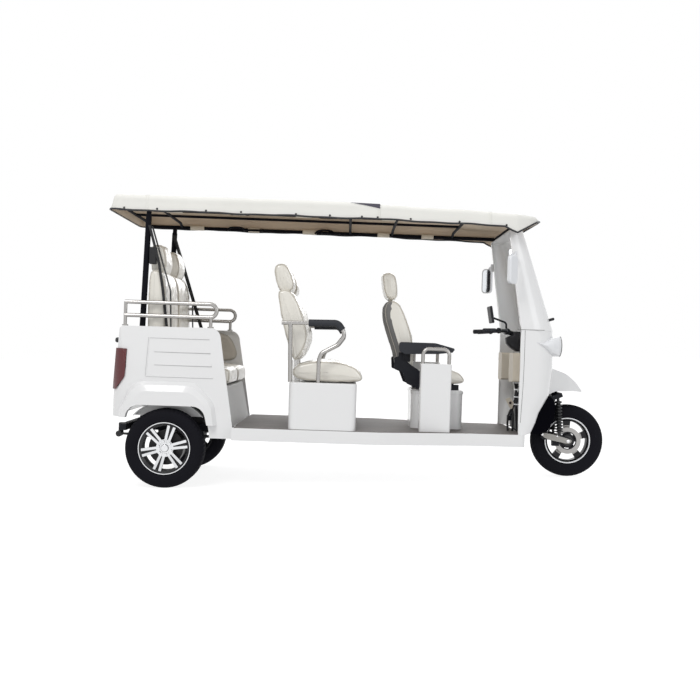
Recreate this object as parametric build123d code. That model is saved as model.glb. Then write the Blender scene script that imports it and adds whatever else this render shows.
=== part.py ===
from build123d import *
import os
from math import sin, cos, tan, radians, degrees, atan2, hypot

os.makedirs("parts", exist_ok=True)

# Driving dimensions, in millimetres and degrees. X runs forward from the rear axle,
# Y to the left, Z up from the ground. The body sits nose-down by body_rake about the
# rear axle, while the wheels, axle and fork stand straight on the ground.
wheelbase = 2706
body_rake = 1.85
axle_height = 254

# Rear wheels
rear_tyre_radius = 254
rear_tyre_width = 145
rear_rim_radius = 167
rear_track_half = 577
rear_bead_radius = 152
rear_rim_half = 63
twin_spokes = 6
twin_spoke_phase = 11

# Front wheel
front_tyre_radius = 250
front_tyre_width = 108
front_rim_radius = 158
front_bead_radius = 146
front_rim_half = 45
front_spokes = 5
disc_radius = 92
disc_offset = 47

# Steering: the axis passes through (steer_x, steer_z) and leans back by caster
steer_x = 2620
steer_z = 590
caster = 20
stem_radius = 15
head_tube_radius = 27
head_tube_length = 270
pin_clearance = 0.3
shaft_clearance = 0.08
leg_spread = 88
leg_radius = 17
link_pivot_x = 2532
link_pivot_z = 284

# Deck
deck_top = 400
deck_depth = 80
deck_half_width = 650
deck_taper_start = 1370
deck_taper_end = 1970
deck_nose_half = 490
deck_front = 2335
sheet = 4
mat_thickness = 3

# Rear tub
tub_top = 1033
tub_rear = -320
tub_front_foot = 427
tub_front_top = 323
tub_rear_foot = -366
tub_half_width = deck_half_width - 50
tub_top_half_width = tub_half_width - 25
tub_corner_radius = 110
tub_wall = 5
rim_flange = 45
arch_half = 250
arch_flat_height = 529
flare_top = 680
relief_height = 3
flare_half_width = deck_half_width + 6
well_radius = 298
well_inner_half = 478

# Seats
seat_pitch = 540
seat_width = 500
head_half_width = 135
bench_board_top = 660
cushion_top = 780
mid_box_rear = 785
mid_box_front = 1220
mid_box_top = 704
mid_box_half_width = deck_half_width - 15
box_corner = 40
pedestal_rear = 1597
pedestal_front = 1950
pedestal_top = 668
pedestal_half_width = 215
driver_seat_half_width = 235

# Side guards beside the driver
guard_rear = 1635
guard_front = 1838
guard_top = 848
guard_outer_half = 500
guard_width = 110

# Rails and tubes
steel_tube_radius = 13
rail_half_spacing = 555
rail_low_z = 1102
rail_high_z = 1188
post_radius = 19
post_half_spacing = 503

# Cab
cab_rear_x = 2288
cab_half_width = 470
cab_seam_z = 1088
cab_top_z = 1746
cab_top_rear_x = 2194
cab_wall = 5
cab_corner = 170

# Roof
roof_rear = -432
roof_front_corner = 2229
roof_half_width = 530
roof_skin = 6
roof_crown = 35
visor_tip = 2455
roof_tube_radius = 13


def outline(*corners):
    # closed face from a table whose columns are: across, up, corner radius
    points = [(a, b) for a, b, r in corners]
    return make_face(FilletPolyline(*points, radius=[r for a, b, r in corners], close=True))


def side_solid(face, y_low, y_high):
    # a face drawn in X and Z, carried sideways between two values of Y
    return extrude(Plane(origin=(0, y_high, 0), x_dir=(1, 0, 0), z_dir=(0, -1, 0)) * face, y_high - y_low)


def plan_solid(face, z_low, z_high):
    # a face drawn in X and Y, carried up between two heights
    return extrude(Plane(origin=(0, 0, z_low)) * face, z_high - z_low)


def cross_solid(face, x_low, x_high):
    # a face drawn in Y and Z, carried forward between two values of X
    return extrude(Plane(origin=(x_low, 0, 0), x_dir=(0, 1, 0), z_dir=(1, 0, 0)) * face, x_high - x_low)


def block(x_low, x_high, y_low, y_high, z_low, z_high):
    centre = ((x_low + x_high) / 2, (y_low + y_high) / 2, (z_low + z_high) / 2)
    return Pos(*centre) * Box(x_high - x_low, y_high - y_low, z_high - z_low)


def rod(start, end, radius):
    # a straight round bar between two points
    a, b = Vector(*start), Vector(*end)
    return extrude(Plane(origin=a, z_dir=b - a) * Circle(radius), (b - a).length)


def bent_tube(points, bends, radius):
    # a round bar along straight runs joined by tangent arcs
    path = FilletPolyline(*points, radius=bends)
    return sweep(Plane(origin=path @ 0, z_dir=path % 0) * Circle(radius), path=path)


def both_sides(shape):
    return shape + mirror(shape, about=Plane.XZ)


def joined(shapes):
    total = shapes[0]
    for shape in shapes[1:]:
        total = total + shape
    return total


def raked(x, y, z):
    # where a point of the body lies on the ground-level vehicle
    turn = radians(body_rake)
    up = z - axle_height
    return (x * cos(turn) + up * sin(turn), y, axle_height - x * sin(turn) + up * cos(turn))


def set_on_rake(shape):
    return Pos(0, 0, axle_height) * Rot(0, body_rake, 0) * Pos(0, 0, -axle_height) * shape


def steer_point(along):
    # a point of the steering axis, measured up from the crown
    lean = radians(caster)
    return (steer_x - along * sin(lean), 0, steer_z + along * cos(lean))


# Chassis: two long rails with cross members, and the head tube that carries the fork
rail_spacing_half = 300
rail_width = 40
rail_bottom = deck_top - sheet - 52
head_tube_start = 30


head_stay_radius = 16


def head_stays():
    # two bars on each side, from the front stubs of the chassis up to the head tube
    foot = raked(deck_front + 24, 0, rail_bottom + 12)
    stays = []
    for side in (-1, 1):
        for along in (60, head_tube_length - 30):
            neck = steer_point(head_tube_start + along)
            stays.append(((foot[0], side * 150, foot[2]), (neck[0], side * 6, neck[2])))
    return stays


def frame_clearance():
    # slots for the bars that rise to the head tube
    return joined([rod(a, b, head_stay_radius + 3) for a, b in head_stays()])


def chassis_frame():
    top = deck_top - sheet
    rail = block(tub_rear + 12, deck_front - sheet - 6, rail_spacing_half - rail_width / 2,
                 rail_spacing_half + rail_width / 2, rail_bottom, top)
    pieces = [both_sides(rail)]
    # columns: place along the body, half length
    full = deck_half_width - 10
    for x, half_length in ((-285, tub_half_width - 40), (460, full - 10), (880, full), (1300, full), (1720, 540),
                           (2290, deck_nose_half - 20)):
        pieces.append(block(x - 20, x + 20, -half_length, half_length, rail_bottom + 12, top))
    pieces.append(both_sides(block(2290, deck_front + 40, 132, 168, rail_bottom, top - 22)))
    frame = set_on_rake(joined(pieces))
    low, high = steer_point(head_tube_start), steer_point(head_tube_start + head_tube_length)
    head = rod(low, high, head_tube_radius)
    head = head + joined([rod(a, b, head_stay_radius) for a, b in head_stays()])
    bore = rod(steer_point(0), steer_point(head_tube_start + head_tube_length + 60), stem_radius + shaft_clearance)
    return frame + (head - bore)


# Deck: a shallow tray with a rounded skirt, wide under the rows and tapered to the cab
def deck_plan(inset):
    half, nose = deck_half_width - inset, deck_nose_half - inset
    rear = tub_front_foot + 0.3 + inset
    tongue = well_inner_half - 20 - inset
    return outline(
        (360 + inset, -tongue, 0), (rear, -tongue, 0),
        (rear, -half, 0), (deck_taper_start, -half, 120),
        (deck_taper_end, -nose, 120), (deck_front - inset, -nose + 15, 30),
        (deck_front - inset, nose - 15, 30), (deck_taper_end, nose, 120),
        (deck_taper_start, half, 120), (rear, half, 0),
        (rear, tongue, 0), (360 + inset, tongue, 0))


def deck():
    tray = plan_solid(deck_plan(0), deck_top - deck_depth, deck_top)
    tray = fillet(tray.edges().group_by(Axis.Z)[-1], 3)
    tray = tray - plan_solid(deck_plan(sheet), deck_top - deck_depth - 1, deck_top - sheet)
    tray = tray - block(300, tub_front_foot + 0.3, -600, 600, 300, deck_top - sheet)
    return tray - block(deck_front - 10, deck_front + 10, -175, 175, 300, deck_top - 8)


def floor_mat():
    mat = plan_solid(deck_plan(14), deck_top, deck_top + mat_thickness)
    return mat & block(tub_front_foot + 6, deck_front, -700, 700, 0, 700)


# Rear tub: side profile, cross-section and plan meet in one moulded shell
def tub_block(inset, rise=0, reach=0):
    # rise and reach open the top and the front of the inner form
    rear_top = tub_rear + (tub_rear - tub_rear_foot) * rise / (tub_top - 446)
    profile = outline(
        (tub_rear_foot + inset, 446, 0), (rear_top + inset, tub_top + rise, 30 if rise == 0 else 0),
        (tub_front_top + reach, tub_top + rise, 68 if rise == 0 else 0),
        (tub_front_foot + reach, deck_top, 0), (tub_front_foot + reach, 325, 0), (230, 325, 0), (-200, 446, 0))
    low, high = tub_half_width - inset, tub_top_half_width - inset
    section = outline((-low, 300, 0), (low, 300, 0), (low, 780, 300), (high, tub_top + 90, 0),
                      (-high, tub_top + 90, 0), (-low, 780, 300))
    corner = tub_corner_radius - inset
    plan = outline((tub_rear_foot + inset, -low, corner), (600, -low, 0), (600, low, 0),
                   (tub_rear_foot + inset, low, corner))
    form = side_solid(profile, -700, 700) & cross_solid(section, -500, 600)
    return form & plan_solid(plan, 200, 1300)


def wheel_ring(inner, outer, y_low, y_high):
    ring = side_solid(Pos(0, axle_height) * Circle(outer), y_low, y_high)
    return ring - side_solid(Pos(0, axle_height) * Circle(inner), y_low - 1, y_high + 1)


def arch_opening(y_low, y_high):
    # flat-topped opening over the rear wheel
    face = outline((-arch_half - 25, 250, 0), (-arch_half - 10, 430, 40), (-arch_half + 15, arch_flat_height, 85),
                   (arch_half - 10, arch_flat_height, 85), (arch_half + 25, 380, 60), (arch_half + 40, 250, 0))
    return side_solid(face, y_low, y_high)


def flare_face(inset):
    # the flare's outline seen from the side, drawn in towards the opening by inset
    rise = flare_top - inset
    return outline((-318 + inset, 400, 0), (-300 + inset, 500, 90), (-222 + inset * 0.6, rise, 110),
                   (190 - inset * 0.6, rise, 130), (308 - inset, 545, 130), (330 - inset, 400, 0))


def flare(side):
    # a band round the opening that swells out from the tub side in three steps
    # columns of the steps: place across, inset of the outline
    steps = ((tub_half_width - 30, 0), (tub_half_width, 0), (flare_half_width - 14, 22), (flare_half_width, 62))
    faces = [Plane(origin=(0, y, 0), x_dir=(1, 0, 0), z_dir=(0, -1, 0)) * flare_face(inset) for y, inset in steps]
    band = loft(faces, ruled=True)
    keep = outline((tub_rear_foot, 446, 0), (tub_rear_foot, 800, 0), (tub_front_foot - 20, 800, 0),
                   (tub_front_foot - 2, 410, 0), (230, 410, 0), (0, 410, 0), (-200, 446, 0))
    band = band & side_solid(keep, 0, 700)
    return band if side > 0 else mirror(band, about=Plane.XZ)


def side_relief():
    # raised lines on the tub sides: a frame open towards the front, and two ribs across it
    # columns: rear end, front end, middle height, half height
    lines = ((-128, 262, 962, 2.5), (-90, 272, 880, 9), (-88, 284, 796, 9), (-140, 294, 714, 4))
    faces = [outline((x0, z - h, 0), (x0, z + h, 0), (x1, z + h, 0), (x1, z - h, 0)) for x0, x1, z, h in lines]
    faces.append(outline((-140, 712, 0), (-128, 962, 0), (-123, 962, 0), (-135, 712, 0)))
    bars = joined([side_solid(face, 520, 700) for face in faces])
    skin = tub_block(-relief_height) - tub_block(tub_wall / 2)
    return both_sides(bars & skin)


def lamp_window(grow):
    # the slanted corner field of a tail lamp, seen from the side
    face = outline((-450, 893 + grow, 0), (-266 + grow, 884 + grow, 0), (-274 + grow, 705, 60),
                   (-336 + grow, 622 - grow, 8), (-450, 622 - grow, 0))
    return side_solid(face, 430 - grow, 720)


def rear_tub():
    outer = tub_block(0) + flare(1) + flare(-1) + side_relief()
    rim = tub_block(rim_flange, rise=200, reach=300)
    hollow = tub_block(tub_wall, rise=200, reach=300) & block(-600, 800, -700, 700, 0, tub_top - 6)
    shell = outer - hollow - rim
    well = wheel_ring(well_radius, well_radius + tub_wall, well_inner_half, tub_half_width - 2)
    well_side = wheel_ring(120, well_radius + tub_wall, well_inner_half, well_inner_half + tub_wall)
    well = (well + well_side) & block(-330, 420, 0, 700, 452, 800)
    shell = shell + both_sides(well)
    for side in (-1, 1):
        low, high = (tub_half_width - 60, 700) if side > 0 else (-700, -tub_half_width + 60)
        shell = shell - arch_opening(low, high)
    return shell - both_sides(lamp_window(pin_clearance))


def tail_lamps():
    skin = tub_block(-9) - tub_block(tub_wall)
    lamp = skin & lamp_window(0)
    return both_sides(lamp)


# Rear bench: top board and sloping front panel between the tub sides
def rear_seat_box():
    board_front = tub_front_foot - (bench_board_top - deck_top) * 0.2 - 8
    profile = outline((tub_rear_foot, bench_board_top - 18, 0), (tub_rear_foot, bench_board_top, 0),
                      (board_front, bench_board_top, 20), (tub_front_foot - 6, deck_top + 0.3, 0),
                      (tub_front_foot - 24, deck_top + 0.3, 0), (board_front - 20, bench_board_top - 18, 8))
    bench = side_solid(profile, -tub_half_width, tub_half_width)
    return bench & tub_block(tub_wall + 0.3, rise=200, reach=300)


def battery_pack():
    return fillet(block(110, 330, -300, 300, deck_top - sheet + 0.3, 600).edges().filter_by(Axis.Z), 12)


def seat_cushion(profile, half_width, y_centre):
    cushion = side_solid(profile, y_centre - half_width, y_centre + half_width)
    return fillet(cushion.faces().sort_by(Axis.Y)[0].edges() + cushion.faces().sort_by(Axis.Y)[-1].edges(), 18)


def seat_pair(profile, head_profile=None):
    solids = []
    for y in (-seat_pitch / 2, seat_pitch / 2):
        seat = seat_cushion(profile, seat_width / 2, y)
        if head_profile:
            seat = seat + seat_cushion(head_profile, head_half_width, y)
        solids.append(seat)
    return solids[0] + solids[1]


rear_cushion_profile = outline((-40, 660.3, 30), (-44, 772, 40), (180, 792, 200), (392, 772, 45), (388, 660.3, 30))
rear_back_profile = outline((-130, 660.3, 15), (-160, 1040, 200), (-160, 1400, 30), (-78, 1400, 30),
                            (-44, 1330, 60), (-36, 1040, 200), (-56, 660.3, 15))
rear_head_profile = outline((-160, 1380, 5), (-172, 1440, 60), (-172, 1574, 45), (-88, 1574, 45),
                            (-66, 1440, 45), (-84, 1380, 5))
mid_cushion_profile = outline((800, 704.3, 25), (798, 806, 45), (1010, 844, 260), (1225, 800, 60),
                              (1262, 735, 25), (1218, 704.3, 10))
mid_back_profile = outline((790, 843, 12), (716, 1108, 200), (684, 1300, 30), (778, 1300, 30), (862, 1112, 200),
                           (894, 1000, 60), (826, 843, 20))
mid_head_profile = outline((686, 1285, 5), (650, 1440, 60), (668, 1479, 30), (728, 1479, 40), (786, 1340, 40),
                           (765, 1285, 5))
driver_cushion_profile = outline((1640, 705.3, 25), (1636, 786, 40), (1800, 812, 200), (1905, 800, 60),
                                 (1962, 742, 25), (1935, 705.3, 15))
driver_back_profile = outline((1500, 790, 30), (1475, 915, 120), (1428, 1044, 160), (1388, 1171, 80),
                              (1410, 1262, 30), (1490, 1262, 40), (1552, 1138, 200), (1595, 1010, 160),
                              (1607, 841, 60), (1580, 782, 25))
driver_head_profile = outline((1400, 1276, 25), (1372, 1431, 40), (1392, 1459, 30), (1462, 1459, 40),
                              (1488, 1358, 60), (1482, 1272, 25))


def rear_cushions():
    return seat_pair(rear_cushion_profile)


def rear_backs():
    return seat_pair(rear_back_profile, rear_head_profile)


def mid_cushions():
    return seat_pair(mid_cushion_profile)


def mid_backs():
    return seat_pair(mid_back_profile, mid_head_profile)


def tub_side_pads():
    # upholstered inner sides of the tub, above the cushions
    profile = outline((-200, cushion_top + 20, 20), (-200, tub_top - 12, 30), (tub_front_top - 12, tub_top - 12, 60),
                      (tub_front_top + 48, 945, 50), (345, cushion_top + 20, 20))
    outer = side_solid(profile, 0, 640)
    slab = tub_block(tub_wall + 0.3, rise=200, reach=300) - tub_block(tub_wall + 20, rise=200, reach=300)
    return both_sides(outer & slab & block(-300, 600, 400, 700, 600, 1100))


def box_shell(x_low, x_high, half_width, z_low, z_high, corner):
    body = block(x_low, x_high, -half_width, half_width, z_low, z_high)
    body = fillet(body.edges().filter_by(Axis.Z), corner)
    body = fillet(body.edges().group_by(Axis.Z)[-1], 8)
    inner = block(x_low + tub_wall, x_high - tub_wall, -half_width + tub_wall, half_width - tub_wall,
                  z_low - 1, z_high - tub_wall)
    return body - fillet(inner.edges().filter_by(Axis.Z), corner - tub_wall)


floor_level = deck_top + mat_thickness


def mid_seat_box():
    shell = box_shell(mid_box_rear, mid_box_front, mid_box_half_width, floor_level, mid_box_top, box_corner)
    bars = []
    for seat in (-1, 1):
        for bar in (-150, 150):
            y = seat * seat_pitch / 2 + bar
            bars.append(block(mid_box_rear + 2, mid_box_rear + 12, y - 20, y + 20, mid_box_top - 2, 842.7))
    return shell + joined(bars)


def driver_pedestal():
    shell = box_shell(pedestal_rear, pedestal_front, pedestal_half_width, floor_level, pedestal_top, 55)
    lid = block(pedestal_rear - 5, pedestal_front + 5, -pedestal_half_width - 5, pedestal_half_width + 5,
                pedestal_top - 26, pedestal_top - 10)
    lid = fillet(lid.edges().filter_by(Axis.Z), 58)
    cut = block(pedestal_rear + 20, pedestal_front - 20, -pedestal_half_width + 20, pedestal_half_width - 20,
                pedestal_top - 30, pedestal_top - 6)
    return shell + (lid - cut)


def driver_cushion():
    return seat_cushion(driver_cushion_profile, driver_seat_half_width, 0)


def driver_back():
    back = seat_cushion(driver_back_profile, driver_seat_half_width, 0)
    head = seat_cushion(driver_head_profile, head_half_width, 0)
    stays = both_sides(rod((1440, 60, 1250), (1438, 60, 1290), 6))
    return back + head + stays


def driver_seat_frame():
    # slides, hinge plates and rear shell under the driver's seat
    slides = both_sides(block(1625, 1920, 150, 185, pedestal_top + 0.3, 705))
    cross = both_sides(block(1660, 1690, 0, 170, pedestal_top + 0.3, 705))
    plate = outline((1560, 705, 15), (1530, 780, 15), (1475, 800, 12), (1470, 880, 15), (1510, 890, 15),
                    (1590, 830, 20), (1700, 760, 20), (1740, 712, 8), (1740, 671, 5), (1640, 671, 5))
    hinge = both_sides(side_solid(plate, driver_seat_half_width + 0.3, driver_seat_half_width + 8.3))
    foot = both_sides(block(1655, 1705, 180, driver_seat_half_width + 5, 676, 698))
    stay = both_sides(block(1530, 1560, driver_seat_half_width + 5, 262, 868, 908))
    brace = both_sides(side_solid(outline((1500, 860, 10), (1500, 915, 5), (1580, 915, 5), (1580, 850, 10)),
                                  driver_seat_half_width + 0.3, driver_seat_half_width + 8.3))
    return slides + cross + hinge + foot + brace + stay


arm_pad_profile = outline((1500, 925, 15), (1500, 985, 15), (1740, 985, 100), (1878, 950, 10), (1856, 924, 6),
                          (1760, 912, 60), (1540, 905, 20))
mid_arm_points = ((724, 1084), (1085, 1090), (1136, 1020), (1085, 950), (985, 895), (970, 850), (970, 704.3))


def arm_route(y):
    return [(x, y, z) for x, z in mid_arm_points]


def arm_pads():
    driver_pads = both_sides(side_solid(arm_pad_profile, 262.3, 322))
    start, corner, lower = [Vector(*p) for p in arm_route(600)[:3]]
    first, last = start + (corner - start) * 0.48, corner + (lower - corner) * 0.6
    core = bent_tube([tuple(start), tuple(corner), tuple(lower)], [42], steel_tube_radius + 0.15)
    sleeve = bent_tube([tuple(first), tuple(corner), tuple(last)], [42], 23) - core
    return driver_pads + both_sides(sleeve)


def seat_arm_rails():
    arm = bent_tube(arm_route(600), [42, 40, 60, 40, 30], steel_tube_radius)
    post = rod((789, 600, mid_box_top + 0.3), (780, 600, 1086), steel_tube_radius)
    return both_sides(arm + post)


def guard_boxes():
    box = block(guard_rear, guard_front, guard_outer_half - guard_width, guard_outer_half, floor_level, guard_top)
    box = fillet(box.edges().filter_by(Axis.Z), 14)
    box = fillet(box.edges().group_by(Axis.Z)[-1], 5)
    return both_sides(box)


def guard_hoops():
    y = guard_outer_half - guard_width / 2
    low, high = guard_top + 0.3, 944
    hoop = bent_tube([(guard_rear + 16, y, low), (guard_rear + 16, y, high), (guard_front - 14, y, high),
                      (guard_front - 14, y, low)], [38, 38], 12)
    return both_sides(hoop)


def rear_guard_rails():
    y = rail_half_spacing
    bend = (rail_high_z - rail_low_z) / 2 - 0.5
    loop = bent_tube([(-296, y, rail_high_z), (298, y, rail_high_z), (298, y, rail_low_z), (-296, y, rail_low_z)],
                     [bend, bend], steel_tube_radius)
    for x, high in ((-292, rail_high_z), (262, rail_low_z)):
        loop = loop + rod((x, y, tub_top + 0.3), (x, y, high), 11)
        loop = loop + rod((x, y, tub_top + 0.3), (x, y, tub_top + 8), 20)
    return both_sides(loop)


# Roof: side rails, bows and posts, under one canvas cover with side valances
def roof_line(x):
    # height of the side rails, a little lower towards the front
    return 1796 - (x + 400) * 0.0058


def roof_frame():
    y = roof_half_width - roof_skin - roof_tube_radius - 0.3
    rear, front = roof_rear + 70, 2235
    rail = rod((rear, y, roof_line(rear)), (front - 9, y, roof_line(front)), roof_tube_radius)
    pieces = [both_sides(rail)]
    for x in (rear, -115, 1145, 1460, 1910):
        z = roof_line(x) + 14
        bow = bent_tube([(x, -y, z - 12), (x, -y + 90, z + 10), (x, y - 90, z + 10), (x, y, z - 12)],
                        [150, 150], 10)
        pieces.append(bow)
    pieces.append(rod((front, -y, roof_line(front)), (front, y, roof_line(front)), roof_tube_radius))
    spine = rod((rear, 0, roof_line(rear) + 24), (1910, 0, roof_line(1910) + 24), 9)
    pieces.append(spine)
    post = rod((-200, post_half_spacing, bench_board_top - 20), (-170, post_half_spacing, 1750), post_radius)
    post = post - block(-300, -100, 400, 600, 600, bench_board_top + 0.3)
    head = rod((-170, post_half_spacing, 1744), (-169, y - 4, roof_line(-169)), post_radius - 3)
    pieces.append(both_sides(post + head))
    stay_y = cab_half_width - 45
    stay = rod((2215, stay_y, cab_top_z + 0.3), (2215, stay_y, roof_line(front)), 11)
    pieces.append(both_sides(stay))
    for x in (420, 1000):
        handle = bent_tube([(x - 75, y, roof_line(x)), (x - 55, y - 42, roof_line(x) - 4),
                            (x + 55, y - 42, roof_line(x) - 4), (x + 75, y, roof_line(x))], [16, 16], 8)
        pieces.append(both_sides(handle))
    return joined(pieces)


def canopy_block(inset):
    profile = outline((roof_rear + inset, 1786 - 40 * (inset > 0), 0), (roof_rear + 53 + inset, 1915 - inset, 60),
                      (700, 1905 - inset, 0), (2150, 1872 - inset, 200), (visor_tip - inset * 2, 1852, 8),
                      (roof_front_corner - inset * 0.3, 1716 - inset * 3, 20), (2165, 1757 - 40 * (inset > 0), 60),
                      (1370, 1775 - 40 * (inset > 0), 0))
    half = roof_half_width - inset
    section = outline((-half, 1600, 0), (-half, 1868 - inset, 30), (0, 1868 + roof_crown - inset, 2200),
                      (half, 1868 - inset, 30), (half, 1600, 0))
    plan = outline((roof_rear + inset, -half, 60), (roof_front_corner, -half, 0),
                   (visor_tip - 110 - inset, -half + 60, 80), (visor_tip - inset, 0, 700),
                   (visor_tip - 110 - inset, half - 60, 80), (roof_front_corner, half, 0),
                   (roof_rear + inset, half, 60))
    form = side_solid(profile, -600, 600) & cross_solid(section, -600, 2600)
    return form & plan_solid(plan, 1500, 2000)


def canopy():
    return canopy_block(0) - canopy_block(roof_skin)


# Cab: a moulded cowl below the seam and a windscreen surround above it
def nose_plan(rear_x, front_x, half_width, corner):
    bulge = min(70, (front_x - rear_x) * 0.3)
    shoulder = front_x - bulge
    return outline((rear_x, -half_width, 0), (shoulder, -half_width, corner), (front_x, 0, 2 * corner),
                   (shoulder, half_width, corner), (rear_x, half_width, 0))


# columns: height, front reach at the middle, corner radius
cowl_stations = ((deck_top, 2405, 60), (478, 2453, 80), (545, 2482, 100), (660, 2556, 130), (836, 2576, 150),
                 (cab_seam_z, 2568, cab_corner))


def cowl_block(inset, extra=0):
    faces = []
    for z, front, corner in cowl_stations:
        level = z - extra if z == cowl_stations[0][0] else z + (extra if z == cab_seam_z else 0)
        plan = nose_plan(cab_rear_x - (30 if inset else 0), front - inset, cab_half_width - inset, corner)
        faces.append(Plane(origin=(0, 0, level)) * plan)
    return loft(faces, ruled=True)


def cowl_foot_cut():
    # the lower front corner of the cowl is cut back above the wheel
    return side_solid(outline((2342, 380, 0), (2342, 405, 0), (2400, 411, 30), (2455, 440, 40), (2700, 520, 0),
                              (2700, 380, 0)), -600, 600)


wheel_gap_half = 225


def steering_cut(radius):
    return rod(steer_point(-60), steer_point(480), radius)


def wheel_gap(shrink):
    # the opening at the front of the cowl, with round upper corners
    gap = block(2340, 2700, -wheel_gap_half + shrink, wheel_gap_half - shrink, 380, 690 - shrink)
    return fillet(gap.edges().group_by(Axis.Z)[-1].filter_by(Axis.X), 120)


def front_cowl():
    shell = cowl_block(0) - cowl_block(cab_wall, extra=2)
    shell = shell - cowl_foot_cut() - wheel_gap(0)
    flange = block(cab_rear_x, cab_rear_x + cab_wall, cab_half_width - 20, cab_half_width - 1, 410, cab_seam_z - 4)
    shell = shell + both_sides(flange)
    pod_hole = both_sides(side_pod(headlamp_radius + pin_clearance))
    shell = set_on_rake(shell - pod_hole) - steering_cut(head_tube_radius + 6) - frame_clearance()
    return shell.solids().sort_by(SortBy.VOLUME)[-1]


def surround_block(inset):
    low = nose_plan(cab_rear_x - (30 if inset else 0), 2570 - inset, cab_half_width - inset, cab_corner)
    high = nose_plan(cab_top_rear_x - (30 if inset else 0), 2326 - inset, cab_half_width - 25 - inset, 90)
    return loft([Plane(origin=(0, 0, cab_seam_z + (-1 if inset else 0.3))) * low,
                 Plane(origin=(0, 0, cab_top_z - (inset if inset else 0))) * high], ruled=True)


def windscreen_field(grow):
    # the window of the front face, seen from the front
    half = 375 + grow
    face = outline((-half, 1140 - grow, 60), (half, 1140 - grow, 60), (half - 25, 1690 + grow, 50),
                   (-half + 25, 1690 + grow, 50))
    return cross_solid(face, 2306, 2700)


def cab_surround():
    shell = surround_block(0) - surround_block(cab_wall) - windscreen_field(0)
    lower = (cab_rear_x, cab_seam_z + 4)
    upper = (cab_top_rear_x, cab_top_z - 4)
    strip = outline((lower[0] + 0.5, lower[1], 0), (upper[0] + 0.5, upper[1], 0), (upper[0] + 6, upper[1], 0),
                    (lower[0] + 6, lower[1], 0))
    flange = side_solid(strip, cab_half_width - 48, cab_half_width - 2) & surround_block(0)
    return shell + both_sides(flange)


def windscreen():
    return (surround_block(0.01) - surround_block(cab_wall)) & windscreen_field(-pin_clearance)


headlamp_radius = 67
headlamp_spacing = 330
headlamp_z = 988
headlamp_front = 2572


def side_pod(radius):
    return rod((2440, headlamp_spacing, headlamp_z), (headlamp_front, headlamp_spacing, headlamp_z), radius)


def headlamps():
    pod = side_pod(headlamp_radius)
    lens_seat = rod((headlamp_front - 8, headlamp_spacing, headlamp_z),
                    (headlamp_front + 20, headlamp_spacing, headlamp_z), headlamp_radius - 7)
    return both_sides(pod - lens_seat)


def headlamp_lenses():
    lens = rod((headlamp_front - 8, headlamp_spacing, headlamp_z), (headlamp_front + 6, headlamp_spacing, headlamp_z),
               headlamp_radius - 7 - pin_clearance)
    return both_sides(fillet(lens.edges().group_by(Axis.X)[-1], 6))


def beak_form(inset):
    profile = outline((2500, 856 - inset, 0), (2660, 806 - inset, 220), (2745, 742 - inset, 120),
                      (2803 - 2 * inset, 677 - inset, 6), (2720, 686 - 8 * inset, 60), (2590, 681 - 8 * inset, 0),
                      (2500, 640 - 8 * inset, 0))
    plan = outline((2500, -165 + inset, 0), (2690, -125 + inset, 160), (2803 - inset, -30, 28), (2803 - inset, 30, 28),
                   (2690, 125 - inset, 160), (2500, 165 - inset, 0))
    return side_solid(profile, -200, 200) & plan_solid(plan, 500, 950)


def beak_mudguard():
    beak = beak_form(0) - beak_form(4)
    beak = beak - cowl_block(-pin_clearance)
    return set_on_rake(beak) - steering_cut(head_tube_radius + 6)


def wheelhouse():
    # black liner behind the front wheel, closed at the sides of the gap
    half = wheel_gap_half
    outer = outline((2345, 404, 0), (2345, 560, 60), (2440, 690, 60), (2500, 690, 0), (2500, 686, 0),
                    (2443, 686, 56), (2349, 558, 56), (2349, 404, 0))
    back = side_solid(outer, -half, half)
    cheek = side_solid(outline((2346, 404, 0), (2346, 540, 0), (2400, 600, 0), (2440, 560, 0), (2400, 470, 0),
                               (2380, 404, 0)), half - 5, half)
    liner = (back + both_sides(cheek)) & wheel_gap(pin_clearance)
    return set_on_rake(liner) - steering_cut(head_tube_radius + 6) - frame_clearance()


def inner_panel():
    # upright panel inside the cowl, with the column passing through
    panel = block(2392, 2396, -cab_half_width + cab_wall + 3, cab_half_width - cab_wall - 3, 700, 1086)
    panel = panel - block(2380, 2410, -95, 95, 690, 1100)
    half = cab_half_width - cab_wall - 3
    toe_board = both_sides(block(2392, 2396, wheel_gap_half + 4, half, floor_level - 1, 702))
    foot = both_sides(block(deck_front + 4, 2396, wheel_gap_half + 4, half, floor_level - 1, floor_level + 2))
    panel = (panel + toe_board + foot) & cowl_block(cab_wall + 0.5, extra=2)
    return set_on_rake(panel)


def storage_boxes():
    low, high = 742, 936
    box = block(2262, 2391.7, 165, 330, low, high)
    box = fillet(box.edges().filter_by(Axis.X), 14)
    return both_sides(box)


mirror_turn = 42


def turned_in(form):
    return Pos(2199, 600, 0) * Rot(0, 0, mirror_turn) * Pos(-2199, -600, 0) * form


def mirrors():
    y = 600
    housing = block(2186, 2212, y - 45, y + 45, 1380, 1565)
    housing = fillet(housing.edges().filter_by(Axis.X), 30)
    housing = fillet(housing.edges().group_by(Axis.X)[-1], 10)
    housing = housing - mirror_glass_form(pin_clearance)
    arm = bent_tube([(2225, cab_half_width - 8, 1560), (2225, 545, 1590), (2204, 592, 1560)], [24], 8)
    foot = block(2202, 2236, cab_half_width - 40, cab_half_width - 4, 1535, 1590)
    return both_sides(turned_in(housing) + (arm + foot - surround_block(-pin_clearance)))


def mirror_glass_form(grow):
    glass = block(2183, 2190 + grow, 600 - 38 - grow, 600 + 38 + grow, 1388 - grow, 1557 + grow)
    return fillet(glass.edges().filter_by(Axis.X), 24)


def mirror_glass():
    return both_sides(turned_in(mirror_glass_form(0) & block(2187, 2200, 0, 700, 1300, 1600)))


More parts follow.
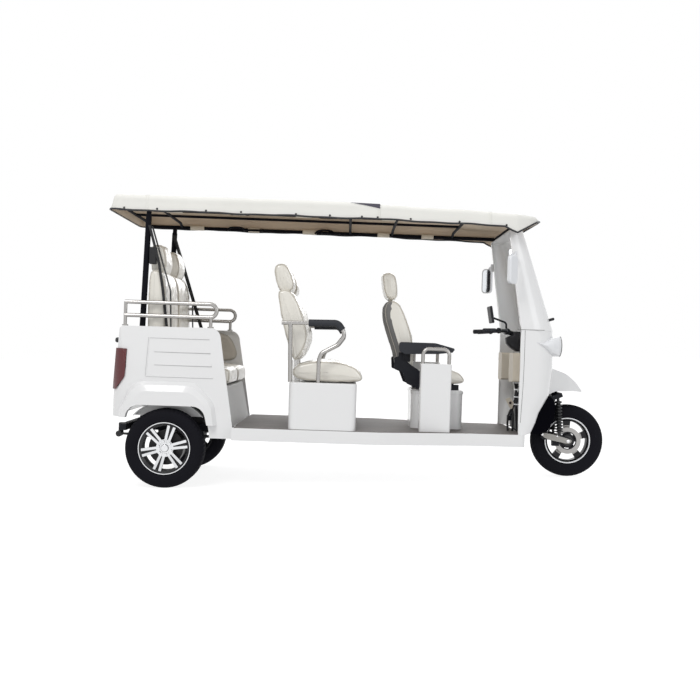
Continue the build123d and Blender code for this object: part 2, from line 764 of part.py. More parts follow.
# Rear axle with its motor block, drums and springs
def rear_axle():
    z = axle_height
    hub_face = rear_track_half + wheel_hub_depth
    axle = rod((0, -hub_face, z), (0, hub_face, z), axle_stub_radius)
    axle = axle + rod((0, -470, z), (0, 470, z), 34)
    axle = axle + both_sides(rod((0, 465, z), (0, rear_track_half - 14, z), 112))
    casing = rod((0, -70, z), (0, 70, z), 100)
    motor = rod((60, 40, z + 10), (60, 300, z + 10), 78)
    return axle + casing + motor


def rear_springs():
    # leaf springs over the axle, with hangers at both ends
    y_low, y_high = 385, 440
    leaves = outline((-330, 318, 6), (0, axle_height + 44, 500), (345, 318, 6), (345, 326, 6),
                     (0, axle_height + 74, 500), (-330, 326, 6))
    pack = side_solid(leaves, y_low, y_high)
    clamp = block(-45, 45, y_low - 8, y_high + 8, axle_height + 34.3, axle_height + 82)
    hangers = []
    for x in (-335, 350):
        ring = side_solid(Pos(x, 322) * Circle(20), y_low - 6, y_high + 6)
        plate = block(x - 16, x + 16, y_low - 14, y_low - 6, 312, rail_bottom + 45)
        hangers += [ring, plate, block(x - 16, x + 16, rail_spacing_half + rail_width / 2 + 0.3, y_low - 6,
                                       rail_bottom + 10, rail_bottom + 45)]
    return both_sides(joined([pack, clamp] + hangers))


def seat_belts():
    # webbing from a reel on each rear post, down past the seat to the bench
    y = post_half_spacing - 4
    strip = outline((-152.6, 1690, 0), (-148, 1690, 0), (-16, 1270, 60), (2, 800, 0), (-2, 800, 0), (-20, 1270, 60))
    web = side_solid(strip, y - 44, y)
    reel = fillet(block(-156, -112, post_half_spacing - 24, post_half_spacing + 24, 1440, 1550).edges(), 5)
    post = rod((-200, post_half_spacing, bench_board_top - 20), (-170, post_half_spacing, 1750),
               post_radius + pin_clearance)
    return both_sides(web) + both_sides(reel - post)


def brake_pedal():
    arm = bent_tube([(2391.7, -120, 760), (2330, -120, 640), (2290, -120, 500)], [60], 7)
    pad = block(2268, 2296, -150, -90, 470, 505)
    return (arm + fillet(pad.edges(), 5)) - block(2391.7, 2420, -200, 0, 700, 800)


# Wheels, drawn round Z with the outer face up, then laid on the axle
axle_stub_radius = 18
wheel_hub_depth = 30
hub_back = 6


def tyre(radius, width, bead, rim, rim_half):
    # the beads sit between the rim lips, and the side walls swell out over them
    half = width / 2
    upper = [(bead, rim_half - 12.4, 0), (rim + 0.5, rim_half - 7.4, 1), (rim + 5, rim_half, 5),
             (bead + 45, half, 30), (radius - 16, half - 5, 14), (radius, half - 22, 12)]
    section = outline(*[(r, -h, bend) for r, h, bend in upper], *reversed(upper))
    return revolve(Plane.XZ * section, Axis.Z)


def barrel(rim, bead, half, wall):
    # rim ring with a lip at each edge and a dropped well
    section = make_face(Polyline(
        (rim - 5, half), (rim, half), (rim, half - 7), (bead - 0.2, half - 12), (bead - 0.2, -half + 12),
        (rim, -half + 7), (rim, -half), (rim - 6, -half), (bead - wall, -half + 10), (bead - wall - 4, 0),
        (bead - wall, half - 16), close=True))
    return revolve(Plane.XZ * section, Axis.Z)


def spoke_bar(inner, outer, width_in, width_out, shift_in, shift_out, z_low, z_high):
    face = make_face(Polyline((inner, shift_in - width_in / 2), (outer, shift_out - width_out / 2),
                              (outer, shift_out + width_out / 2), (inner, shift_in + width_in / 2), close=True))
    return extrude(Plane(origin=(0, 0, z_low)) * face, z_high - z_low)


def rear_wheel_form():
    ring = barrel(rear_rim_radius, rear_bead_radius, rear_rim_half, 8)
    dish = revolve(Plane.XZ * make_face(Polyline(
        (30, hub_back), (30, 40), (58, 38), (rear_bead_radius - 3, 56), (rear_bead_radius - 3, 36),
        (75, hub_back + 4), close=True)), Axis.Z)
    bars = []
    for k in range(twin_spokes):
        turn = Rot(0, 0, twin_spoke_phase + k * 360 / twin_spokes)
        for side in (-1, 1):
            bars.append(turn * spoke_bar(32, rear_bead_radius - 4, 17, 17, side * 10, side * 19, hub_back, 60))
        bars.append(turn * spoke_bar(32, rear_bead_radius - 4, 14, 30, 0, 0, hub_back, 33))
    spokes = dish & joined(bars)
    hub = Pos(0, 0, (hub_back + 36) / 2) * Cylinder(56, 36 - hub_back)
    cap = Pos(0, 0, 41) * Cylinder(25, 12)
    cap = fillet(cap.edges().group_by(Axis.Z)[-1], 5)
    nuts = [Rot(0, 0, twin_spoke_phase + (k + 0.5) * 60) * Pos(43, 0, 39) * extrude(RegularPolygon(8, 6), 8)
            for k in range(twin_spokes)]
    bore = Pos(0, 0, 12) * Cylinder(axle_stub_radius + shaft_clearance, 40)
    return joined([ring, spokes, hub] + nuts) - bore + cap


def front_wheel_form():
    ring = barrel(front_rim_radius, front_bead_radius, front_rim_half, 8)
    dish = revolve(Plane.XZ * make_face(Polyline(
        (40, -12), (40, 14), (front_bead_radius - 3, 30), (front_bead_radius - 3, 8), close=True)), Axis.Z)
    bars = [Rot(0, 0, 90 + k * 360 / front_spokes) * spoke_bar(40, front_bead_radius - 4, 34, 52, 0, 0, -20, 50)
            for k in range(front_spokes)]
    hub = Cylinder(52, 60)
    disc = Pos(0, 0, disc_offset) * (Cylinder(disc_radius, 5) - Cylinder(56, 5))
    arms = [Rot(0, 0, k * 72) * spoke_bar(30, 62, 18, 14, 0, 0, disc_offset - 2, disc_offset + 2) for k in range(5)]
    carrier = Pos(0, 0, disc_offset - 8) * Cylinder(44, 20)
    bore = Cylinder(front_axle_radius + shaft_clearance, 200)
    return joined([ring, dish & joined(bars), hub, disc, carrier] + arms) - bore


front_axle_radius = 9


def lay_wheel(form, x, y, z):
    # outer face towards -Y
    return Plane(origin=(x, y, z), x_dir=(1, 0, 0), z_dir=(0, -1, 0)) * form


# Fork: crown, legs, leading links and axle, turning on the stem
crown_drop = -28


def crown_form(grow):
    lean = Rot(0, -caster, 0)
    plate = Box(80 + 2 * grow, 2 * (shock_side + 12) + 2 * grow, 30 + 2 * grow)
    return Pos(*steer_point(crown_drop)) * lean * Pos(-12, 0, 0) * plate


def front_fork():
    crown = crown_form(0)
    crown = fillet(crown.edges().filter_by(Axis.Y), 6)
    stem_end = steer_point(head_tube_start + head_tube_length + 40)
    stem = rod(steer_point(crown_drop), stem_end, stem_radius)
    collar = rod(steer_point(crown_drop), steer_point(head_tube_start - 0.3), head_tube_radius - 5)
    top_nut = rod(steer_point(head_tube_start + head_tube_length + 0.3),
                  steer_point(head_tube_start + head_tube_length + 16), 22)
    leg = rod((steer_x - 28, leg_spread, steer_z - 41), (link_pivot_x, leg_spread, link_pivot_z), leg_radius)
    pivot = rod((link_pivot_x, leg_spread - 24, link_pivot_z), (link_pivot_x, leg_spread + 24, link_pivot_z), 21)
    axle_y = leg_spread
    angle = degrees(atan2(front_tyre_radius - link_pivot_z, wheelbase - link_pivot_x))
    length = hypot(wheelbase - link_pivot_x, front_tyre_radius - link_pivot_z)
    face = outline((-18, -15, 14), (-18, 15, 14), (length * 0.66, 30, 14), (length + 20, 16, 15),
                   (length + 20, -16, 15), (length * 0.5, -18, 20))
    link = side_solid(face, axle_y - 7, axle_y + 7)
    link = Pos(link_pivot_x, 0, link_pivot_z) * Rot(0, -angle, 0) * link
    lower_pin = rod((shock_foot_x, leg_spread - 7, shock_foot_z), (shock_foot_x, leg_spread + 30, shock_foot_z), 7)
    side = leg + pivot + link + lower_pin
    axle = rod((wheelbase, -leg_spread - 16, front_tyre_radius), (wheelbase, leg_spread + 16, front_tyre_radius),
               front_axle_radius)
    spacers = both_sides(rod((wheelbase, disc_offset + 8, front_tyre_radius),
                             (wheelbase, leg_spread - 6, front_tyre_radius), 15))
    return joined([crown, stem, collar, top_nut, both_sides(side), axle, spacers])


shock_foot_x = 2638
shock_foot_z = 282
spring_radius = 25
shock_side = leg_spread + 22


def front_shocks():
    # a ribbed coil-over on each side, from the link to the crown
    top = (steer_x + 6, shock_side, steer_z)
    foot = (shock_foot_x, shock_side, shock_foot_z)
    a, b = Vector(*foot), Vector(*top)
    length = (b - a).length
    eye = 11
    coils = 9
    pitch = (length - 125) / coils
    points = [(0, 0), (eye - 2, 0), (eye - 2, 30), (spring_radius + 2, 34), (spring_radius + 2, 40), (15, 44)]
    for k in range(coils):
        z = 46 + k * pitch
        points += [(15, z), (spring_radius, z + pitch * 0.25), (spring_radius, z + pitch * 0.6), (15, z + pitch * 0.85)]
    points += [(15, length - 78), (spring_radius, length - 74), (spring_radius, length - 64), (10, length - 60),
               (10, length), (0, length)]
    body = revolve(Plane.XZ * make_face(Polyline(*points, close=True)), Axis.Z)
    body = Plane(origin=a, z_dir=b - a) * body
    body = body - rod((shock_foot_x, 0, shock_foot_z), (shock_foot_x, 300, shock_foot_z), 7 + pin_clearance)
    body = (body - crown_form(pin_clearance)).solids().sort_by(Axis.Z)[0]
    return both_sides(body)


bar_x = 2290
bar_z = 1010
grip_back = 95


def bar_path(side):
    return [(bar_x, 0, bar_z), (bar_x - 22, side * 120, bar_z + 6), (2195, side * 205, bar_z + 4),
            (2100, side * 270, bar_z + 3)]


def handlebar():
    start = steer_point(head_tube_start + head_tube_length + 40.3)
    bend = steer_point(head_tube_start + head_tube_length + 70)
    riser = bent_tube([start, bend, (bar_x, 0, bar_z)], [28], 17)
    clamp = rod((bar_x, -34, bar_z), (bar_x, 34, bar_z), 22)
    bars = [bent_tube(bar_path(side), [70, 45], 11) for side in (-1, 1)]
    bar = joined([riser, clamp] + bars)
    lever_parts = []
    for side in (-1, 1):
        mount = Pos(2205, side * 199, bar_z + 4) * Sphere(20)
        lever = bent_tube([(2212, side * 196, bar_z + 2), (2205, side * 245, bar_z - 6), (2128, side * 292, bar_z - 10)],
                          [26], 5)
        lever_parts += [mount, lever]
    return joined([bar] + lever_parts)


def grips():
    solids = []
    for side in (-1, 1):
        a = Vector(2195, side * 205, bar_z + 4)
        b = Vector(2100, side * 270, bar_z + 3)
        run = (b - a).normalized()
        start, end = a + run * 22, b + run * 7
        sleeve = rod((start.X, start.Y, start.Z), (end.X, end.Y, end.Z), 16)
        solids.append(sleeve - rod((a.X, a.Y, a.Z), (b.X, b.Y, b.Z), 11.2))
    return solids[0] + solids[1]


def display():
    # instrument box on a stalk above the bar
    face = outline((-9, -60, 8), (-9, 60, 8), (9, 60, 8), (9, -60, 8))
    body = Pos(2178, 0, 1128) * Rot(0, -8, 0) * side_solid(face, -75, 75)
    stalk = bent_tube([(bar_x, 20, bar_z + 22.3), (bar_x, 20, 1072), (2190, 20, 1110)], [24], 7)
    return body + stalk


def caliper():
    # brake caliper behind the disc, held by the near link
    z = front_tyre_radius
    grip = block(wheelbase - 112, wheelbase - 65, -(leg_spread - 7.3), -(disc_offset - 15), z - 34, z + 34)
    slot = rod((wheelbase, -disc_offset - 8, z), (wheelbase, -disc_offset + 8, z), disc_radius + 3)
    return grip - slot


def write(name, shape):
    solids = [s for s in shape.solids()]
    shape = Compound(children=solids) if len(solids) > 1 else solids[0]
    shape.label = name
    export_step(shape, f"parts/{name}.step")


on_body = {
    "deck": deck, "floor_mat": floor_mat, "rear_tub": rear_tub, "tail_lamps": tail_lamps,
    "rear_seat_box": rear_seat_box, "battery_pack": battery_pack, "rear_cushions": rear_cushions,
    "rear_backs": rear_backs, "tub_side_pads": tub_side_pads, "mid_seat_box": mid_seat_box,
    "mid_cushions": mid_cushions, "mid_backs": mid_backs, "seat_arm_rails": seat_arm_rails,
    "arm_pads": arm_pads, "driver_pedestal": driver_pedestal, "driver_seat_frame": driver_seat_frame,
    "driver_cushion": driver_cushion, "driver_back": driver_back, "guard_boxes": guard_boxes,
    "guard_hoops": guard_hoops, "rear_guard_rails": rear_guard_rails, "roof_frame": roof_frame,
    "canopy": canopy, "cab_surround": cab_surround, "windscreen": windscreen, "headlamps": headlamps,
    "headlamp_lenses": headlamp_lenses, "storage_boxes": storage_boxes, "mirrors": mirrors,
    "mirror_glass": mirror_glass, "rear_springs": rear_springs, "seat_belts": seat_belts,
    "brake_pedal": brake_pedal,
}
on_ground = {
    "chassis_frame": chassis_frame, "front_cowl": front_cowl, "beak_mudguard": beak_mudguard,
    "wheelhouse": wheelhouse, "inner_panel": inner_panel, "rear_axle": rear_axle,
    "front_fork": front_fork, "front_shocks": front_shocks, "handlebar": handlebar, "grips": grips,
    "display": display, "caliper": caliper,
}

shapes = {name: set_on_rake(make()) for name, make in on_body.items()}
shapes.update({name: make() for name, make in on_ground.items()})

rear_form = rear_wheel_form()
rear_rubber = tyre(rear_tyre_radius, rear_tyre_width, rear_bead_radius, rear_rim_radius, rear_rim_half)
shapes["rear_rim_right"] = lay_wheel(rear_form, 0, -rear_track_half, axle_height)
shapes["rear_tyre_right"] = lay_wheel(rear_rubber, 0, -rear_track_half, axle_height)
shapes["rear_rim_left"] = mirror(shapes["rear_rim_right"], about=Plane.XZ)
shapes["rear_tyre_left"] = mirror(shapes["rear_tyre_right"], about=Plane.XZ)
shapes["front_rim"] = lay_wheel(front_wheel_form(), wheelbase, 0, front_tyre_radius)
front_rubber = tyre(front_tyre_radius, front_tyre_width, front_bead_radius, front_rim_radius, front_rim_half)
shapes["front_tyre"] = lay_wheel(front_rubber, wheelbase, 0, front_tyre_radius)

# The frame's origin lies on the ground under the middle of the whole length
front_end = wheelbase + front_tyre_radius
rear_end = min(shape.bounding_box().min.X for shape in shapes.values())
centre_x = (front_end + rear_end) / 2
for name, shape in shapes.items():
    write(name, Pos(-centre_x, 0, 0) * shape)
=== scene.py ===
import bmesh
import bpy
import numpy as np
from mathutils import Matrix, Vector


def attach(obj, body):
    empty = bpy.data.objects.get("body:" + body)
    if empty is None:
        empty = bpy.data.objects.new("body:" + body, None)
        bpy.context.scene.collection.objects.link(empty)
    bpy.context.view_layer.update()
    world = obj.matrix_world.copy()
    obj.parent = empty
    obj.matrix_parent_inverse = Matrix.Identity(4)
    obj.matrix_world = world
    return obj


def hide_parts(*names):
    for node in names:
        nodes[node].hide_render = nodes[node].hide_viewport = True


bpy.ops.wm.read_factory_settings(use_empty=True)
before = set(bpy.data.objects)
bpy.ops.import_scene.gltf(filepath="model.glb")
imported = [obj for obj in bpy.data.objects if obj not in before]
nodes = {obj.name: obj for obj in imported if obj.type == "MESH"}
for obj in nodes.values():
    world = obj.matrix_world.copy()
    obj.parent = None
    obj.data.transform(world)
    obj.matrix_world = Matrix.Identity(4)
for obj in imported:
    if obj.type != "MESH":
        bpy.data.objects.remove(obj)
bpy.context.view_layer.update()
print("frame loaded")

# Body pieces are drawn level in millimetres, X forward from the rear axle, then set on the rake.
place = {"centreX": 1286.8413, "rake": 1.85, "axleHeight": 254.0}


def toRow(p):
    # turned nose-down about the rear axle line, shifted to the middle of the length, in metres
    p = np.asarray(p, float)
    a = np.radians(place["rake"])
    up = p[..., 2] - place["axleHeight"]
    x = p[..., 0] * np.cos(a) + up * np.sin(a) - place["centreX"]
    z = place["axleHeight"] - p[..., 0] * np.sin(a) + up * np.cos(a)
    return np.stack([x, p[..., 1], z], -1) / 1000


def toGround(p):
    # a point of the running gear: only shifted to the middle of the length, in metres
    p = np.asarray(p, float)
    return (p - np.array([place["centreX"], 0, 0])) / 1000


# Shapes as whole arrays.

def gridFaces(nu, nv, wrapU=False, wrapV=False):
    # quads between neighbouring rows and columns, the last joined to the first where it wraps
    i = np.arange(nu if wrapU else nu - 1)[:, None]
    j = np.arange(nv if wrapV else nv - 1)[None, :]
    a = i * nv + j
    b = i * nv + (j + 1) % nv
    c = (i + 1) % nu * nv + (j + 1) % nv
    d = (i + 1) % nu * nv + j
    return np.stack([a, b, c, d], -1).reshape(-1, 4)


def gridPart(grid, wrapU=False, wrapV=False):
    # a grid of points as one list, with the faces between its rows and columns
    nu, nv = grid.shape[:2]
    return grid.reshape(-1, 3), gridFaces(nu, nv, wrapU, wrapV)


def tubePart(path, radius, sides=10, side=(0, 1, 0), wrap=False):
    # circle swept along a path: centre + r (cos t n + sin t b), with n square to the path and to side
    path = np.asarray(path, float)
    ahead = np.roll(path, -1, 0) - np.roll(path, 1, 0) if wrap else np.gradient(path, axis=0)
    ahead /= np.linalg.norm(ahead, axis=1, keepdims=True) + 1e-12
    n = np.cross(ahead, np.asarray(side, float))
    n /= np.linalg.norm(n, axis=1, keepdims=True) + 1e-12
    b = np.cross(ahead, n)
    t = np.arange(sides) / sides * 2 * np.pi
    r = np.broadcast_to(np.asarray(radius, float), (len(path),))[:, None, None]
    grid = path[:, None] + r * (np.cos(t)[:, None] * n[:, None] + np.sin(t)[:, None] * b[:, None])
    if not wrap:
        grid = capped(grid, path[0], path[-1])
    return gridPart(grid, wrap, True)


def lathePart(profile, origin, axis, count=32, start=(0, 0, 1)):
    # profile (radius, height) turned about the axis: origin + h axis + r (cos t u + sin t v)
    profile = np.asarray(profile, float)
    axis = np.asarray(axis, float) / np.linalg.norm(axis)
    u = np.cross(axis, np.asarray(start, float))
    if np.linalg.norm(u) < 1e-6:
        u = np.cross(axis, (1.0, 0, 0))
    u /= np.linalg.norm(u)
    v = np.cross(axis, u)
    t = np.arange(count) / count * 2 * np.pi
    ring = np.cos(t)[:, None] * u + np.sin(t)[:, None] * v
    high, wide = profile[:, 1, None, None], profile[:, 0, None, None]
    grid = np.asarray(origin, float) + high * axis + wide * ring[None]
    return gridPart(grid, False, True)


def boxPart(low, high):
    # eight corners of a box and its six faces
    x, y, z = [(a, b) for a, b in zip(low, high)]
    v = np.array([(a, b, c) for a in x for b in y for c in z], float)
    f = np.array([(0, 1, 3, 2), (4, 6, 7, 5), (0, 4, 5, 1), (2, 3, 7, 6), (0, 2, 6, 4), (1, 5, 7, 3)])
    return v, f


def joinParts(parts):
    # vertex arrays stacked, each part's faces counted on from the ones before
    shift = np.cumsum([0] + [len(v) for v, f in parts[:-1]])
    return np.concatenate([v for v, f in parts]), np.concatenate([f + s for (v, f), s in zip(parts, shift)])


def slabPart(face, shift):
    # a four-cornered face and its copy moved by shift, closed by the four sides between them
    f = np.array([(0, 1, 2, 3), (7, 6, 5, 4), (0, 4, 5, 1), (1, 5, 6, 2), (2, 6, 7, 3), (3, 7, 4, 0)])
    return np.concatenate([face, face + np.array(shift)]), f


def capped(grid, first, last):
    # a row of equal points before the grid and one after it, which close its two ends
    count = grid.shape[1]
    before, after = np.repeat(first[None, None], count, 1), np.repeat(last[None, None], count, 1)
    return np.concatenate([before, grid, after])


def platePart(path, steps):
    # a flat form: at each step the outline is scaled about its middle and set that far to the right
    centre = path.mean(0)
    rows = []
    for size, y in steps:
        p = centre + (path - centre) * size
        rows.append(np.stack([p[:, 0], np.full(len(path), -y), p[:, 1]], 1))
    return gridPart(np.stack(rows), False, True)


def flipY(part):
    # mirrored across the middle plane: y becomes -y
    v, f = part
    return v * np.array([1, -1, 1]), f


def bothSides(parts):
    # the parts as given, on the right, and their mirrored copies on the left
    return parts + [flipY(p) for p in parts]


def smoothPath(points, count=40, closed=False):
    # corners cut three times (each run gives its two quarter points), then evenly spaced along the length
    p = np.asarray(points, float)
    for turn in range(3):
        if closed:
            q = np.roll(p, -1, 0)
            p = np.stack([0.75 * p + 0.25 * q, 0.25 * p + 0.75 * q], 1).reshape(-1, p.shape[1])
        else:
            a, b = p[:-1], p[1:]
            mid = np.stack([0.75 * a + 0.25 * b, 0.25 * a + 0.75 * b], 1).reshape(-1, p.shape[1])
            p = np.concatenate([p[:1], mid, p[-1:]])
    return evenPath(p, count, closed)


def evenPath(points, count, closed=False):
    # points at equal steps of length along straight runs
    p = np.asarray(points, float)
    if closed:
        p = np.concatenate([p, p[:1]])
    run = np.concatenate([[0], np.cumsum(np.linalg.norm(np.diff(p, axis=0), axis=1))])
    at = np.linspace(0, run[-1], count + (1 if closed else 0))
    if closed:
        at = at[:-1]
    return np.stack([np.interp(at, run, p[:, k]) for k in range(p.shape[1])], 1)


def ripple(p, seed, size, strength, stretch=(1, 1, 1), waves=14):
    # sum of sine waves in seeded directions: a smooth, repeatable unevenness
    rng = np.random.default_rng(seed)
    k = rng.normal(size=(waves, 3)) * np.asarray(stretch) * 2 * np.pi / size
    phase = rng.uniform(0, 2 * np.pi, waves)
    return strength * np.sin(p @ k.T + phase).sum(-1) / np.sqrt(waves)


def piece(name, part, material, body="chassis", smooth=True, raked=True, sharp=None):
    # one object from joined arrays: doubles merged, faces turned outward, riding on its body
    v, f = part
    v = toRow(v) if raked else toGround(v)
    mesh = bpy.data.meshes.new(name)
    mesh.from_pydata(v.tolist(), [], f.tolist())
    form = bmesh.new()
    form.from_mesh(mesh)
    bmesh.ops.remove_doubles(form, verts=form.verts, dist=2e-6)
    bmesh.ops.dissolve_degenerate(form, edges=form.edges, dist=1e-6)
    bmesh.ops.recalc_face_normals(form, faces=form.faces)
    form.to_mesh(mesh)
    form.free()
    obj = bpy.data.objects.new(name, mesh)
    bpy.context.scene.collection.objects.link(obj)
    mesh.materials.append(material)
    if smooth:
        mesh.shade_smooth()
        if sharp:
            mesh.set_sharp_from_angle(angle=np.radians(sharp))
    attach(obj, body)
    return obj


# Materials.

def link(tree, a, b):
    # one wire from socket a to socket b
    tree.links.new(a, b)


def finish(name, colour, rough=0.5, metal=0.0, coat=0.0, bump=0.0, bumpScale=60.0, vary=0.0,
           stretch=(1, 1, 1), clear=0.0, sheen=0.0, ior=1.45):
    # plain shader, with noise on Object coordinates for height and for a little change of colour
    mat = bpy.data.materials.new(name)
    mat.use_nodes = True
    tree = mat.node_tree
    shader = tree.nodes["Principled BSDF"]
    shader.inputs["Base Color"].default_value = (*colour, 1)
    shader.inputs["Roughness"].default_value = rough
    shader.inputs["Metallic"].default_value = metal
    shader.inputs["Coat Weight"].default_value = coat
    shader.inputs["Coat Roughness"].default_value = 0.06
    shader.inputs["Transmission Weight"].default_value = clear
    shader.inputs["Sheen Weight"].default_value = sheen
    shader.inputs["IOR"].default_value = ior
    if bump or vary:
        where = tree.nodes.new("ShaderNodeTexCoord")
        turn = tree.nodes.new("ShaderNodeMapping")
        turn.inputs["Scale"].default_value = stretch
        link(tree, where.outputs["Object"], turn.inputs["Vector"])
        noise = tree.nodes.new("ShaderNodeTexNoise")
        noise.inputs["Scale"].default_value = bumpScale
        noise.inputs["Detail"].default_value = 4
        link(tree, turn.outputs["Vector"], noise.inputs["Vector"])
        if bump:
            height = tree.nodes.new("ShaderNodeBump")
            height.inputs["Strength"].default_value = bump
            height.inputs["Distance"].default_value = 0.004
            link(tree, noise.outputs["Fac"], height.inputs["Height"])
            link(tree, height.outputs["Normal"], shader.inputs["Normal"])
        if vary:
            soft = tree.nodes.new("ShaderNodeTexNoise")
            soft.inputs["Scale"].default_value = bumpScale * 0.12
            link(tree, where.outputs["Object"], soft.inputs["Vector"])
            mix = tree.nodes.new("ShaderNodeMix")
            mix.data_type = "RGBA"
            mix.inputs["A"].default_value = (*[c * (1 - vary) for c in colour], 1)
            mix.inputs["B"].default_value = (*[min(1, c * (1 + vary)) for c in colour], 1)
            link(tree, soft.outputs["Fac"], mix.inputs["Factor"])
            link(tree, mix.outputs["Result"], shader.inputs["Base Color"])
    return mat


def twoTone(mat, dark, faceY, slant=0.85):
    # bright where a face looks along the axle and lies outside faceY, dark elsewhere
    tree = mat.node_tree
    shader = tree.nodes["Principled BSDF"]
    where = tree.nodes.new("ShaderNodeTexCoord")
    apart = tree.nodes.new("ShaderNodeSeparateXYZ")
    link(tree, where.outputs["Object"], apart.inputs["Vector"])
    facing = tree.nodes.new("ShaderNodeSeparateXYZ")
    link(tree, where.outputs["Normal"], facing.inputs["Vector"])

    def step(op, a, b):
        n = tree.nodes.new("ShaderNodeMath")
        n.operation = op
        link(tree, a, n.inputs[0])
        if isinstance(b, float):
            n.inputs[1].default_value = b
        elif b is not None:
            link(tree, b, n.inputs[1])
        return n.outputs["Value"]

    outside = step("GREATER_THAN", step("ABSOLUTE", apart.outputs["Y"], None), faceY)
    flat = step("GREATER_THAN", step("ABSOLUTE", facing.outputs["Y"], None), slant)
    both = step("MULTIPLY", outside, flat)
    mix = tree.nodes.new("ShaderNodeMix")
    mix.data_type = "RGBA"
    mix.inputs["A"].default_value = (*dark, 1)
    mix.inputs["B"].default_value = (*shader.inputs["Base Color"].default_value[:3], 1)
    link(tree, both, mix.inputs["Factor"])
    link(tree, mix.outputs["Result"], shader.inputs["Base Color"])
    link(tree, both, shader.inputs["Metallic"])
    return mat


def ringTone(mat, centre, bands):
    # colour by distance from the wheel's axle in metres: one ramp with a hard step at each band
    tree = mat.node_tree
    shader = tree.nodes["Principled BSDF"]
    where = tree.nodes.new("ShaderNodeTexCoord")
    shift = tree.nodes.new("ShaderNodeVectorMath")
    shift.operation = "SUBTRACT"
    shift.inputs[1].default_value = centre
    link(tree, where.outputs["Object"], shift.inputs[0])
    flat = tree.nodes.new("ShaderNodeVectorMath")
    flat.operation = "MULTIPLY"
    flat.inputs[1].default_value = (1, 0, 1)
    link(tree, shift.outputs["Vector"], flat.inputs[0])
    far = tree.nodes.new("ShaderNodeVectorMath")
    far.operation = "LENGTH"
    link(tree, flat.outputs["Vector"], far.inputs[0])
    scale = tree.nodes.new("ShaderNodeMath")
    scale.operation = "MULTIPLY"
    scale.inputs[1].default_value = 5.0
    link(tree, far.outputs["Value"], scale.inputs[0])
    ramp = tree.nodes.new("ShaderNodeValToRGB")
    ramp.color_ramp.interpolation = "CONSTANT"
    tones = ramp.color_ramp.elements
    tones[0].color = (*bands[0][1], 1)
    tones[1].position = bands[1][0] * 5
    tones[1].color = (*bands[1][1], 1)
    for reach, colour in bands[2:]:
        tone = tones.new(reach * 5)
        tone.color = (*colour, 1)
    link(tree, scale.outputs["Value"], ramp.inputs["Fac"])
    link(tree, ramp.outputs["Color"], shader.inputs["Base Color"])
    return mat


